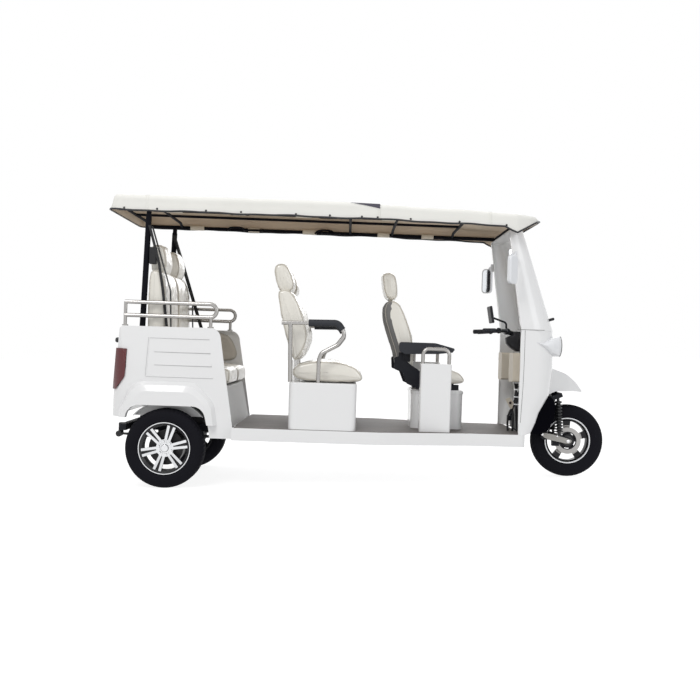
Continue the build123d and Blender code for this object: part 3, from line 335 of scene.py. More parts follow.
look = {
    "white": finish("bodyWhite", (0.82, 0.822, 0.825), 0.22, coat=0.5, bump=0.02, bumpScale=9),
    "black": finish("frameBlack", (0.006, 0.007, 0.011), 0.42, bump=0.03, bumpScale=120, ior=1.3),
    "roofBlack": finish("roofBlack", (0.007, 0.007, 0.010), 0.7, bump=0.03, bumpScale=120, ior=1.15),
    "plastic": finish("plasticBlack", (0.007, 0.007, 0.010), 0.55, bump=0.12, bumpScale=400),
    "mat": finish("matGrey", (0.125, 0.112, 0.105), 0.62, bump=0.4, bumpScale=55, vary=0.25),
    "cream": finish("seatCream", (0.78, 0.755, 0.69), 0.28, coat=0.6, bump=0.55, bumpScale=20, vary=0.10,
                    stretch=(1, 1, 0.5)),
    "creamSeam": finish("seatSeam", (0.56, 0.52, 0.45), 0.5),
    "padGrey": finish("padGrey", (0.58, 0.54, 0.48), 0.42, coat=0.1, bump=0.2, bumpScale=30, vary=0.06),
    "foam": finish("foamBlack", (0.014, 0.016, 0.022), 0.62, bump=0.25, bumpScale=300),
    "steel": finish("steelTube", (0.40, 0.39, 0.38), 0.22, metal=1.0, bump=0.02, bumpScale=200),
    "canvas": finish("canvasIvory", (0.80, 0.795, 0.755), 0.6, bump=0.25, bumpScale=22, vary=0.04, sheen=0.1),
    "lining": finish("liningTan", (0.66, 0.55, 0.43), 0.75, bump=0.2, bumpScale=30, vary=0.08),
    "tape": finish("edgeTape", (0.02, 0.02, 0.024), 0.55, bump=0.1, bumpScale=300),
    "glass": finish("screenGlass", (0.97, 0.985, 0.99), 0.02, clear=1.0, ior=1.06),
    "lens": finish("lampLens", (0.93, 0.95, 0.97), 0.03, clear=0.85, ior=1.3),
    "red": finish("lampRed", (0.10, 0.004, 0.007), 0.14, coat=0.4, bump=0.5, bumpScale=160,
                  stretch=(1, 1, 3)),
    "darkRed": finish("lampEdge", (0.035, 0.006, 0.008), 0.15, coat=0.6),
    "pod": finish("podWhite", (0.82, 0.83, 0.85), 0.16, coat=0.4),
    "beige": finish("boxBeige", (0.66, 0.60, 0.50), 0.45, bump=0.08, bumpScale=200, vary=0.05),
    "shell": finish("mirrorShell", (0.76, 0.775, 0.80), 0.25, coat=0.3),
    "silvered": finish("mirrorSilver", (0.82, 0.85, 0.88), 0.03, metal=1.0),
    "webbing": finish("webbingBlack", (0.012, 0.012, 0.014), 0.7, bump=0.35, bumpScale=260,
                      stretch=(1, 1, 4)),
    "spring": finish("springBlack", (0.013, 0.014, 0.016), 0.35, coat=0.2),
    "bright": finish("brightMetal", (0.75, 0.75, 0.76), 0.2, metal=1.0),
    "rubber": finish("tyreRubber", (0.006, 0.006, 0.009), 0.72, bump=0.15, bumpScale=160, vary=0.15, ior=1.2),
    "shellGrey": finish("backShell", (0.15, 0.148, 0.145), 0.7, bump=0.4, bumpScale=50, vary=0.3,
                        stretch=(1, 1, 0.25)),
    "deepBlack": finish("deepBlack", (0.003, 0.003, 0.005), 0.9, ior=1.1),
    # painted shadow: the grey of the thin lines laid under the tub's side ribs
    "shade": finish("paintedRibShadow", (0.50, 0.50, 0.505), 0.6),
    "cast": finish("castGrey", (0.36, 0.35, 0.33), 0.45, metal=0.3, bump=0.2, bumpScale=200),
    # painted shade: the white rear seat box's front made grey, as it lies in shade inside the tub
    "benchPaintedShade": finish("benchPaintedShade", (0.42, 0.42, 0.42), 0.4, bump=0.1, bumpScale=30, vary=0.1),
    "battery": finish("batteryBlack", (0.02, 0.02, 0.022), 0.55, bump=0.1),
    "axle": finish("axlePaint", (0.012, 0.012, 0.014), 0.45, bump=0.1, bumpScale=150),
    # painted shade: the dark of the overlap where the sheet is folded back on the near side
    "flapShade": finish("flapPaintedShade", (0.075, 0.07, 0.095), 0.7, bump=0.2, bumpScale=60),
}
spokeSilver = finish("twinSpoke", (0.72, 0.73, 0.745), 0.24, bump=0.03, bumpScale=150)
look["twin"] = twoTone(spokeSilver, (0.012, 0.012, 0.014), 0.6118)
# the front wheel's bands: where each starts from the axle in metres, and its colour
wheelBands = ((0, (0.05, 0.05, 0.05)), (0.035, (0.012, 0.012, 0.014)), (0.062, (0.42, 0.41, 0.40)),
              (0.105, (0.015, 0.015, 0.017)), (0.1485, (0.80, 0.81, 0.83)))
wheelGrey = finish("frontWheel", (0.5, 0.5, 0.5), 0.35, metal=0.6)
look["frontWheel"] = ringTone(wheelGrey, (1.4192, 0, 0.25), wheelBands)

# which look each CAD node gets
dress = {
    # the rear seat box gets the painted shade grey in place of white
    "benchPaintedShade": ["rear_seat_box"],
    "white": ["deck", "rear_tub", "mid_seat_box", "driver_pedestal", "guard_boxes", "cab_surround",
              "front_cowl", "beak_mudguard", "inner_panel"],
    "roofBlack": ["roof_frame"],
    "black": ["chassis_frame", "front_fork", "handlebar", "driver_seat_frame", "brake_pedal", "caliper"],
    "axle": ["rear_axle", "rear_springs"],
    "plastic": ["wheelhouse", "display"], "battery": ["battery_pack"],
    "mat": ["floor_mat"],
    "foam": ["arm_pads", "grips"], "steel": ["seat_arm_rails", "guard_hoops", "rear_guard_rails"],
    "glass": ["windscreen"], "lens": ["headlamp_lenses"], "pod": ["headlamps"], "beige": ["storage_boxes"],
    "shell": ["mirrors"], "silvered": ["mirror_glass"], "webbing": ["seat_belts"], "spring": ["front_shocks"],
    "frontWheel": ["front_rim"], "twin": ["rear_rim_right", "rear_rim_left"], "red": ["tail_lamps"],
}
for key, names in dress.items():
    for nodeName in names:
        if nodeName in nodes:
            node = nodes[nodeName]
            node.data.materials.clear()
            node.data.materials.append(look[key])
print("frame dressed")


# Canopy: one stretched sheet over the bows, turned down into a valance.

canopySize = {"half": 529.0, "edgeRound": 28.0, "sag": 2.0, "thick": 2.4, "rear": -431.0, "tip": 2454.0,
              "flatLength": 3.0, "around": 620, "topRings": 46, "valanceRings": 10, "tape": 6.0}
bows = np.array([-362.0, -115.0, 330.0, 760.0, 1145.0, 1460.0, 1910.0, 2235.0])


def canopyTop(x, y):
    # height of the sheet: side height plus a parabola across, less a small sag between the bows
    middle = np.interp(x, [-400, -300, 700, 1300, 2150, 2330, 2455],
                       [1905, 1916, 1916, 1906, 1870, 1852, 1836])
    side = np.interp(x, [-400, 950, 1200, 1464, 1725, 1986, 2116, 2312, 2455],
                     [1889, 1888, 1882, 1872, 1863, 1856, 1846, 1835, 1827])
    z = side + (middle - side) * (1 - np.clip(np.abs(y) / canopySize["half"], 0, 1) ** 2)
    k = np.clip(np.searchsorted(bows, x) - 1, 0, len(bows) - 2)
    t = np.clip((x - bows[k]) / (bows[k + 1] - bows[k]), 0, 1)
    return z - canopySize["sag"] * np.sin(np.pi * t) ** 0.8


def canopyEdge(x):
    # height of the valance's lower edge
    return np.interp(x, [-432, 1370, 2150, 2232, 2455], [1787, 1776, 1757, 1718, 1846])


def canopyRim(count):
    # the sheet's outline seen from above, round from the rear right corner
    half, tip, rear = canopySize["half"], canopySize["tip"], canopySize["rear"]
    corner = [(rear, -half + 55), (rear + 12, -half + 14), (rear + 55, -half)]
    side = [(rear + 56, -half), (2228, -half)]
    nose = [(2229, -half), (2325, -half + 49), (2368, -half + 84), (2410, -300), (2440, -160), (tip, 0)]
    right = corner + side + nose
    left = [(x, -y) for x, y in right[-2::-1]]
    return evenPath(right + left, count, closed=True)


def makeCanopy():
    # rings from the middle line out to the rim, over a rounded edge and down the valance
    count = canopySize["around"]
    rim = canopyRim(count)
    spine = np.stack([np.clip(rim[:, 0], -120, 2200), np.zeros(count)], 1)
    away = rim - spine
    far = np.linalg.norm(away, axis=1, keepdims=True)
    unit = away / far
    r = canopySize["edgeRound"]
    rings = []
    for s in np.linspace(0.0, 1.0, canopySize["topRings"]):
        p = spine + unit * (far - r) * s
        rings.append(np.stack([p[:, 0], p[:, 1], canopyTop(p[:, 0], p[:, 1])], 1))
    low = canopyEdge(rim[:, 0])
    base = rings[-1]
    bend = np.minimum(r, base[:, 2] - low - 3)
    for a in np.linspace(0.25, 1, 4) * np.pi / 2:
        p = base[:, :2] + unit * (r * np.sin(a))
        rings.append(np.stack([p[:, 0], p[:, 1], base[:, 2] - bend * (1 - np.cos(a))], 1))
    top = rings[-1]
    for t in np.linspace(0.1, 1, canopySize["valanceRings"]):
        z = top[:, 2] + (low - top[:, 2]) * t
        rings.append(np.stack([top[:, 0], top[:, 1], z], 1))
    grid = np.stack(rings)
    # the rear wall leans: the higher, the further forward
    behind = np.clip(-unit[:, 0] * 1.3, 0, 1)[None] * (rim[:, 0] < 0)
    grid[..., 0] += behind * np.clip(grid[..., 2] - 1787, 0, 130) * 0.38
    # drawn-in folds: long creases on top, short upright ones on the valance
    flat = grid.reshape(-1, 3)
    lift = ripple(flat, 3, 420, 0.7, (0.6, 1.2, 0.2)) + ripple(flat, 4, 130, 0.4, (1, 0.6, 0.2))
    cornerPull = np.exp(-((flat[:, 0] + 340) / 70) ** 2) + np.exp(-((flat[:, 0] - 2190) / 60) ** 2)
    lift += cornerPull * ripple(flat, 9, 60, 1.6, (1.2, 0.4, 0.6))
    side = ripple(flat, 5, 150, 1.0, (1, 0.1, 0.25))
    up = np.clip((flat[:, 2] - 1835) / 25, 0, 1)
    flat[:, 2] += (lift - 1.5) * up
    inward = np.concatenate([unit] * grid.shape[0]).reshape(-1, 2)
    flat[:, :2] -= inward * (np.clip(side + 1.2, 0, 2.6) * (1 - up))[:, None]
    obj = piece("canopySheet", gridPart(grid, False, True), look["canvas"])
    obj.data.materials.append(look["lining"])
    wall = obj.modifiers.new("Wall", "SOLIDIFY")
    wall.thickness = canopySize["thick"] / 1000
    wall.offset = -1
    wall.material_offset = 1
    wall.material_offset_rim = 0
    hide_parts("canopy")
    return obj, rim


canopy, canopyRimLine = makeCanopy()


def makeCanopyTrim():
    # black tape along the lower edge, seams across the sheet, press studs and rail straps
    rim = canopyRimLine
    low = canopyEdge(rim[:, 0])
    wave = 2.5 * np.sin(rim[:, 0] / 95) + 1.5 * np.sin(rim[:, 0] / 37)
    tape = np.stack([rim[:, 0], rim[:, 1], low + 1 + wave * (rim[:, 0] < 2200)], 1)
    piece("canopyTape", tubePart(tape, canopySize["tape"], 8, (0, 0, 1), wrap=True), look["tape"])
    half, bend = canopySize["half"], canopySize["edgeRound"]
    inner = half - bend
    seams = []
    for x in (-180, 1330, 2053):
        y = np.linspace(-inner, inner, 90)
        over = np.stack([np.full(90, float(x)), y, canopyTop(np.full(90, float(x)), y) + 0.5], 1)
        z0 = over[0, 2]
        down = np.linspace(0, 1, 12)[1:]
        a = down * np.pi / 2
        arc = np.stack([np.full(11, float(x)), -inner - bend * np.sin(a), z0 - bend * (1 - np.cos(a))], 1)
        wall = np.linspace(z0 - 30, canopyEdge(x) + 4, 10)
        drop = np.stack([np.full(10, float(x)), np.full(10, -half), wall], 1)
        right = np.concatenate([arc, drop])
        left = right * np.array([1, -1, 1])
        for shift in (-7, 7):
            path = np.concatenate([right[::-1], over, left]) + np.array([shift, 0, 0])
            seams.append(tubePart(path, 1.6, 6, (1, 0, 0)))
    piece("canopySeams", joinParts(seams), look["canvas"])
    stud = np.array([(0, 3.4), (3.5, 3.1), (6, 1.8), (6.8, 0), (6.8, -1.5), (0, -1.5)])
    studs = []
    for x in (-328, -114, 204, 432, 789, 1010, 1218, 1321, 1536, 1854, 2160):
        studs.append(lathePart(stud, (x, -half - 1.2, canopyEdge(x) + 13), (0, -1, 0), 16))
    piece("canopyStuds", joinParts(bothSides(studs)), look["spring"])
    straps = []
    for x, long in ((-2, 104), (422, 84), (840, 104), (1395, 90), (1725, 90)):
        t = np.linspace(0, 2 * np.pi, 28, endpoint=False)
        railZ = 1796 - (x + 400) * 0.0058
        ring = np.stack([np.zeros(28), 510.7 - 2 + 15.6 * np.cos(t), railZ + 2 + 17.5 * np.sin(t)], 1)
        across = np.linspace(-long / 2, long / 2, 6)
        grid = ring[None] + np.stack([across + x, np.zeros(6), np.zeros(6)], 1)[:, None]
        grid[..., 1] = np.minimum(grid[..., 1], 524.2)
        straps.append(gridPart(grid, False, True))
    obj = piece("railStraps", joinParts(bothSides(straps)), look["beige"])
    wall = obj.modifiers.new("Wall", "SOLIDIFY")
    wall.thickness = 0.0018
    wall.offset = 0
    # a thin dark slab on the near side's valance: painted shade where the sheet overlaps at a folded-back
    # flap
    face = np.array([(1138, -531, 1880), (1334, -531, 1876), (1334, -531, 1846), (1236, -531, 1866)], float)
    piece("canopyFlapShade", slabPart(face, (0, 1.6, 0)), look["flapShade"], smooth=False)


makeCanopyTrim()
print("canopy trim")


# Seats: padded forms with a rounded edge, sewn channels and creases.

padSize = {"edge": 30.0, "bulge": 9.0, "crown": 7.0, "crease": 1.5, "grow": 3.0, "cord": 1.54,
           "headHalf": 135, "headEdge": 26}


def profileNormals(p):
    # outward normals of a closed outline in X and Z
    t = np.roll(p, -1, 0) - np.roll(p, 1, 0)
    n = np.stack([t[:, 1], -t[:, 0]], 1)
    n /= np.linalg.norm(n, axis=1, keepdims=True) + 1e-9
    area = np.sum(p[:, 0] * np.roll(p[:, 1], -1) - np.roll(p[:, 0], -1) * p[:, 1])
    return n if area > 0 else -n


def padPart(corners, half, yMid, seed=0, channels=None, edge=None, count=150, across=64):
    # the side outline is carried across: full in the middle, drawn in along its normals by a
    # quarter circle at each edge, then closed by rings that shrink to the middle of the side
    r = edge or padSize["edge"]
    outline = smoothPath(corners, count, closed=True)
    n = profileNormals(outline)
    centre = outline.mean(0)
    stations = []
    for t in np.linspace(0, 1, 9)[:-1]:
        stations.append((-1.0, t, r, (1 - t * t) * padSize["bulge"]))
    for a in np.linspace(0, np.pi / 2, 9)[:-1]:
        stations.append((-(half - r + r * np.cos(a)) / half, 1, r * (1 - np.sin(a)), 0.0))
    left = [(-y, s, d, -b) for y, s, d, b in stations[::-1]]
    for y in np.linspace(-(half - r) / half, (half - r) / half, across):
        stations.append((y, 1, 0.0, 0.0))
    stations += left
    st = np.array(stations)
    ring = outline[None] - n[None] * st[:, 2, None, None]
    ring = centre + (ring - centre) * st[:, 1, None, None]
    y = yMid + half * st[:, 0] - st[:, 3]
    grid = np.stack([ring[..., 0], np.broadcast_to(y[:, None], ring.shape[:2]), ring[..., 1]], -1)
    flat = grid.reshape(-1, 3)
    normal = np.broadcast_to(n[None], ring.shape).reshape(-1, 2)
    v = np.clip(np.abs(flat[:, 1] - yMid) / half, 0, 1)
    away = np.clip((1 - v) / 0.12, 0, 1)
    move = padSize["crown"] * (1 - v ** 2) * 0.5
    if channels:
        move = move + channels(flat, normal, flat[:, 1] - yMid) * away
    crease = ripple(flat, seed, 95, padSize["crease"], (0.7, 1.4, 0.7))
    crease += ripple(flat, seed + 1, 34, padSize["crease"] * 0.45, (0.5, 1.6, 1.0))
    sharp = -np.abs(ripple(flat, seed + 2, 150, 1.6, (0.8, 1.2, 0.8))) ** 0.5 * 1.2
    move = move + (crease + sharp) * (0.35 + 0.65 * away) - 3.0
    flat[:, 0] += normal[:, 0] * move
    flat[:, 2] += normal[:, 1] * move
    return gridPart(flat.reshape(grid.shape), False, True), outline


def sideSeams(outline, half, yMid, edge=None):
    # one cord round each side where the panels are sewn
    r = edge or padSize["edge"]
    n = profileNormals(outline)
    parts = []
    for s in (-1, 1):
        p = outline - n * (r * 0.3 + 1.5)
        y = np.full(len(p), yMid + s * (half - r + r * 0.72))
        parts.append(tubePart(np.stack([p[:, 0], y, p[:, 1]], 1), padSize["cord"], 6, (0, 1, 0), wrap=True))
    return parts


def backChannels(zLow, zHigh, pitch, depth):
    # upright sewn lines on the front of a back, evenly spaced
    def move(p, n, y):
        front = np.clip((n[:, 0] - 0.3) / 0.4, 0, 1)
        span = np.clip((p[:, 2] - zLow) / 30, 0, 1) * np.clip((zHigh - p[:, 2]) / 30, 0, 1)
        ridge = np.abs(np.sin(np.pi * (y / pitch + 0.5)))
        return front * span * depth * (ridge ** 0.45 - 1) * (np.abs(y) < 190)
    return move


def seatChannels(xLow, xHigh, pitch, depth):
    # sewn lines across the top of a cushion, with a smooth roll at the front
    def move(p, n, y):
        top = np.clip((n[:, 1] - 0.4) / 0.4, 0, 1)
        inside = np.clip((p[:, 0] - xLow) / 30, 0, 1) * np.clip((xHigh - p[:, 0]) / 30, 0, 1)
        ridge = np.abs(np.sin(np.pi * (p[:, 0] / pitch + 0.5)))
        rim = np.clip((175 - np.abs(y)) / 10, 0, 1)
        edgeLine = np.exp(-((np.abs(y) - 180) / 6) ** 2)
        return -top * depth * edgeLine + top * inside * rim * depth * (ridge ** 0.4 - 1)
    return move


seatPitch = 540.0
# side outlines of the cushions, backs and headrests, as X and Z
rearCushion = [(-42, 662), (-44, 770), (70, 790), (180, 792), (300, 789), (388, 774), (392, 720), (388, 662)]
rearBack = [(-58, 662), (-130, 662), (-148, 850), (-160, 1040), (-160, 1240), (-158, 1404), (-84, 1404),
            (-46, 1330), (-36, 1180), (-36, 1040), (-46, 850)]
rearHead = [(-84, 1384), (-158, 1384), (-172, 1450), (-173, 1572), (-130, 1578), (-90, 1572), (-68, 1500),
            (-66, 1440)]
midCushion = [(802, 706), (798, 806), (900, 838), (1010, 846), (1130, 836), (1225, 800), (1262, 735),
              (1218, 706)]
midBack = [(826, 845), (790, 845), (716, 1108), (690, 1240), (684, 1302), (776, 1302), (832, 1200),
           (862, 1112), (894, 1000), (870, 920)]
midHead = [(765, 1288), (688, 1288), (655, 1390), (650, 1440), (664, 1478), (728, 1480), (770, 1400),
           (788, 1340)]
driverCushion = [(1640, 707), (1636, 786), (1720, 806), (1800, 812), (1905, 800), (1962, 742), (1935, 707)]
driverBack = [(1500, 790), (1475, 915), (1428, 1044), (1388, 1171), (1404, 1264), (1492, 1264), (1552, 1138),
              (1595, 1010), (1607, 841), (1580, 784)]
driverHead = [(1402, 1278), (1372, 1431), (1388, 1461), (1462, 1461), (1488, 1358), (1482, 1274)]


def makeSeat(name, node, corners, half, yMid, seed, channels, headCorners=None):
    # one seat part with its seams as a piece of its own; a headrest is joined to its back
    def grown(c):
        c = np.asarray(c, float)
        mid = c.mean(0)
        away = c - mid
        return mid + away * (1 + padSize["grow"] / (np.linalg.norm(away, axis=1, keepdims=True) + 1e-9))

    part, outline = padPart(grown(corners), half, yMid, seed, channels)
    parts = [part]
    seams = sideSeams(outline, half, yMid)
    if headCorners:
        half, edge = padSize["headHalf"], padSize["headEdge"]
        part, outline = padPart(grown(headCorners), half, yMid, seed + 20, None, edge, 110, 36)
        parts.append(part)
        seams += sideSeams(outline, half, yMid, edge)
    obj = piece(name, joinParts(parts), look["cream"])
    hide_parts(node)
    piece(name + "Seams", joinParts(seams), look["creamSeam"])
    return obj


for sideName, sign in (("Right", -1), ("Left", 1)):
    yMid = sign * seatPitch / 2
    makeSeat("rearCushion" + sideName, "rear_cushions", rearCushion, 250, yMid, 11 + sign,
             seatChannels(10, 330, 62, 4.5))
    makeSeat("rearBack" + sideName, "rear_backs", rearBack, 250, yMid, 31 + sign,
             backChannels(820, 1320, 62, 5.0), rearHead)
    makeSeat("midCushion" + sideName, "mid_cushions", midCushion, 250, yMid, 51 + sign,
             seatChannels(870, 1150, 70, 4.0))
    makeSeat("midBack" + sideName, "mid_backs", midBack, 250, yMid, 71 + sign,
             backChannels(930, 1230, 62, 4.0), midHead)
makeSeat("driverCushion", "driver_cushion", driverCushion, 234, 0.0, 91, seatChannels(1700, 1880, 60, 3.5))
driverBackPiece = makeSeat("driverBack", "driver_back", driverBack, 234, 0.0, 101,
                           backChannels(880, 1200, 60, 3.5), driverHead)


def greyRear(obj, reach):
    # the second look goes on faces whose middle lies less than reach ahead of the rear edge's line
    obj.data.materials.append(look["shellGrey"])
    count = len(obj.data.polygons)
    centre = np.empty(count * 3)
    obj.data.polygons.foreach_get("center", centre)
    centre = centre.reshape(-1, 3) * 1000
    z = centre[:, 2]
    rearEdge = np.array([(1500, 0, 790), (1475, 0, 915), (1428, 0, 1044), (1388, 0, 1171), (1404, 0, 1262)])
    line = toRow(rearEdge) * 1000
    rear = np.interp(z, line[:, 2], line[:, 0])
    behind = (centre[:, 0] - rear < reach) & (z < line[-1, 2])
    obj.data.polygons.foreach_set("material_index", behind.astype(np.int32))
    obj.data.update()


greyRear(driverBackPiece, 44)
print("seats")


# Side pads inside the tub. The tub's side stands straight up to fromZ, then leans in.

tubSide = {"half": 600, "lean": 25, "fromZ": 770, "rise": 353}


def tubHalf(z):
    # half width of the tub's outer face: the full half, less the lean's share above fromZ
    lean = np.clip((z - tubSide["fromZ"]) / tubSide["rise"], 0, 1)
    return tubSide["half"] - tubSide["lean"] * lean


def makeSidePad(sign, name):
    # rings shrink to the middle on both faces; the inner face is quilted along curved lines
    corners = [(-200, 806), (-205, 1012), (-60, 1020), (225, 1020), (292, 948), (330, 812), (150, 802)]
    outline = smoothPath(corners, 120, closed=True)
    centre = outline.mean(0)
    rings = []
    scale = np.linspace(0, 1, 26)
    for s in scale:
        p = centre + (outline - centre) * s
        y = tubHalf(p[:, 1]) - 5.6
        rings.append(np.stack([p[:, 0], y, p[:, 1]], 1))
    for s in scale[::-1]:
        p = centre + (outline - centre) * s
        puff = 14.0 * min(1.0, (1 - s) * 9 + 0.25)
        line = np.abs(np.sin(np.pi * (p[:, 1] + 0.00035 * (p[:, 0] - 60) ** 2) / 74)) ** 0.5
        y = tubHalf(p[:, 1]) - 5.6 - puff + (1 - line) * 5 * min(1.0, (1 - s) * 8)
        rings.append(np.stack([p[:, 0], y, p[:, 1]], 1))
    grid = np.stack(rings)
    grid[..., 1] *= sign
    obj = piece(name, gridPart(grid, False, True), look["padGrey"])
    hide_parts("tub_side_pads")


makeSidePad(-1, "sidePadRight")
makeSidePad(1, "sidePadLeft")
print("side pads")


# Tyres: a turned section with grooves cut into the tread.

tyreDetail = {"turns": 420, "grooveDepth": 5.0, "ribWidth": 2.6, "shoulder": 32}


def makeTyre(name, node, centre, radius, width, bead, rim, rimHalf, ribs, blocks, body, sign):
    # radius less groove depth, where a groove is a rib line or a slanted cut between blocks
    half = width / 2
    shoulder, rib = tyreDetail["shoulder"], tyreDetail["ribWidth"]
    pts = [(bead, rimHalf - 12.4), (rim + 0.6, rimHalf - 7.2), (rim + 6, rimHalf + 0.2), (rim + 14, half - 6),
           (bead + 48, half - 1), (radius - 50, half), (radius - 26, half - 2), (radius - 12, half - 8),
           (radius - 3, half - 19), (radius, half - shoulder)]
    upper = smoothPath(pts, 46)
    lower = upper[::-1] * np.array([1, -1])
    across = np.linspace(half - shoulder, -half + shoulder, 46)
    tread = np.stack([np.full(46, float(radius)), across], 1)[1:-1]
    section = np.concatenate([upper, tread, lower])
    inner = np.stack([np.full(8, float(bead)), np.linspace(-rimHalf + 12.4, rimHalf - 12.4, 8)], 1)
    section = np.concatenate([section, inner[1:-1]])
    turns = tyreDetail["turns"]
    t = np.arange(turns) / turns * 2 * np.pi
    r = np.broadcast_to(section[None, :, 0], (turns, len(section))).copy()
    h = np.broadcast_to(section[None, :, 1], (turns, len(section)))
    onTread = np.clip((r - (radius - 22)) / 8, 0, 1)
    grooves = np.zeros_like(r)
    for y in ribs:
        grooves = np.maximum(grooves, np.exp(-((h - y) / rib) ** 4))
    slant = t[:, None] * blocks / (2 * np.pi) + np.abs(h) / 46.0
    cut = np.abs((slant % 1.0) - 0.5)
    outer = np.clip((np.abs(h) - (half - 42)) / 6, 0, 1)
    grooves = np.maximum(grooves, outer * (cut < 0.085))
    fine = np.abs((slant * 2 % 1.0) - 0.5)
    grooves = np.maximum(grooves, 0.5 * (fine < 0.07) * (1 - outer))
    r -= onTread * grooves * tyreDetail["grooveDepth"]
    # two raised rings on each side wall
    wall = (np.abs(h) > half - 14) & (r < radius - 22)
    lowRing = 1.2 * np.exp(-((r - (rim + 20)) / 2.2) ** 2)
    highRing = 1.0 * np.exp(-((r - (radius - 34)) / 1.8) ** 2)
    bulge = np.where(wall, lowRing + highRing, 0)
    yy = h + np.sign(h) * bulge
    x = centre[0] + r * np.cos(t)[:, None]
    z = centre[2] + r * np.sin(t)[:, None]
    grid = np.stack([x, centre[1] + sign * yy, z], -1)
    obj = piece(name, gridPart(grid, True, True), look["rubber"], body, raked=False,
                sharp=35)
    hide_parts(node)


rearCentre = 577.0
rearRadius = 254
for side, sign in (("Right", 1), ("Left", -1)):
    word = side.lower()
    makeTyre("rearTyre" + side, "rear_tyre_" + word, (0, -sign * rearCentre, rearRadius), rearRadius, 145,
             152, 167, 63, (-30, -10, 10, 30), 54, "rear_wheel_" + word, sign)
makeTyre("frontTyre", "front_tyre", (2706, 0, 250), 250, 108, 146, 158, 45, (-20, 0, 20), 46,
         "front_wheel", 1)
print("tyres")


# Cab: black column shroud, cables, plate, liner flaps, seams and lamp rims.

columnSize = {"shroudHalf": 52, "cable": 5.5, "loop": 7, "plateY": -122.0}
# columns: height, rear edge, front edge, of the shroud round the column; its half width is shroudHalf
shroud = np.array([(945, 2335, 2378), (975, 2285, 2376), (1000, 2262, 2374), (1040, 2256, 2370),
                   (1060, 2300, 2362), (1085, 2296, 2356)], float)


def makeColumn():
    # the shroud is a stack of rings, each the middle of its two edges plus reach times a rounded square
    t = np.arange(28) / 28 * 2 * np.pi
    c, d = np.cos(t), np.sin(t)
    square = (np.abs(c) ** 4 + np.abs(d) ** 4) ** -0.25
    mid, reach = (shroud[:, 1] + shroud[:, 2]) / 2, (shroud[:, 2] - shroud[:, 1]) / 2
    rows = []
    for k, size in [(0, 0.0)] + [(k, 1.0) for k in range(len(shroud))] + [(len(shroud) - 1, 0.0)]:
        across = columnSize["shroudHalf"] * size * d * square
        rows.append(np.stack([mid[k] + reach[k] * size * c * square, across, np.full(28, shroud[k, 0])], 1))
    piece("columnShroud", gridPart(np.stack(rows), False, True), look["plastic"],
          sharp=40)
    cables = []
    # columns: place across, then the run down from the shroud to the floor
    for y, shift in ((-250, 0), (-262, 9), (-274, -7), (-238, 14)):
        run = [(2352, y * 0.3, 960), (2330 + shift, y * 0.8, 900), (2300 + shift, y, 830),
               (2296 + shift * 1.5, y, 730), (2306 - shift, y, 640), (2302 + shift, y, 540),
               (2322, y * 0.9, 405)]
        cables.append(tubePart(smoothPath(run, 60), columnSize["cable"], 8, (0, 1, 0)))
    loop = [(2262, -205, 405), (2256, -205, 470), (2266, -205, 530), (2286, -205, 560), (2296, -205, 500),
            (2292, -205, 405)]
    cables.append(tubePart(smoothPath(loop, 50), columnSize["loop"], 8, (0, 1, 0)))
    piece("columnCables", joinParts(cables), look["webbing"])
    clips = []
    for z, x in ((845, 2303), (790, 2297), (735, 2299), (690, 2303), (640, 2304), (590, 2303)):
        clips.append(boxPart((x - 13, -282, z - 4), (x + 15, -232, z + 4)))
    piece("cableClips", joinParts(clips), look["shell"], smooth=False)
    plate = np.array([(2251, 617), (2282, 628), (2317, 585), (2305, 517)], float)
    low = np.stack([plate[:, 0], np.full(4, columnSize["plateY"]), plate[:, 1]], 1)
    piece("controllerPlate", slabPart(low, (0, -3.0, 0)), look["beige"], smooth=False)
    knob = lathePart([(0, 0), (9, 0), (9, 5), (6, 8), (0, 8)], (2285, -125, 592), (0, -1, 0), 20)
    piece("controllerKnob", knob, look["darkRed"])


makeColumn()


def makeLinerFlaps():
    # black flaps that carry the wheel liner forward past the cowl's edge on both sides of the wheel
    edge = np.array([(2352, 408), (2352, 600), (2420, 640), (2500, 652), (2560, 640), (2576, 598),
                     (2580, 540), (2562, 470), (2530, 408), (2475, 388), (2440, 392)], float)
    path = smoothPath(edge, 90, closed=True)
    flap = platePart(path, ((0.0, 214.0), (1.0, 214.0), (1.0, 219.0), (0.0, 219.0)))
    piece("linerFlaps", joinParts(bothSides([flap])), look["deepBlack"], sharp=40)


makeLinerFlaps()


cabSize = {"seamY": 470.2, "seamZ": 1091.0, "rimX": 2571.0, "rimRadius": 66.5, "lampY": -330, "lampZ": 988}


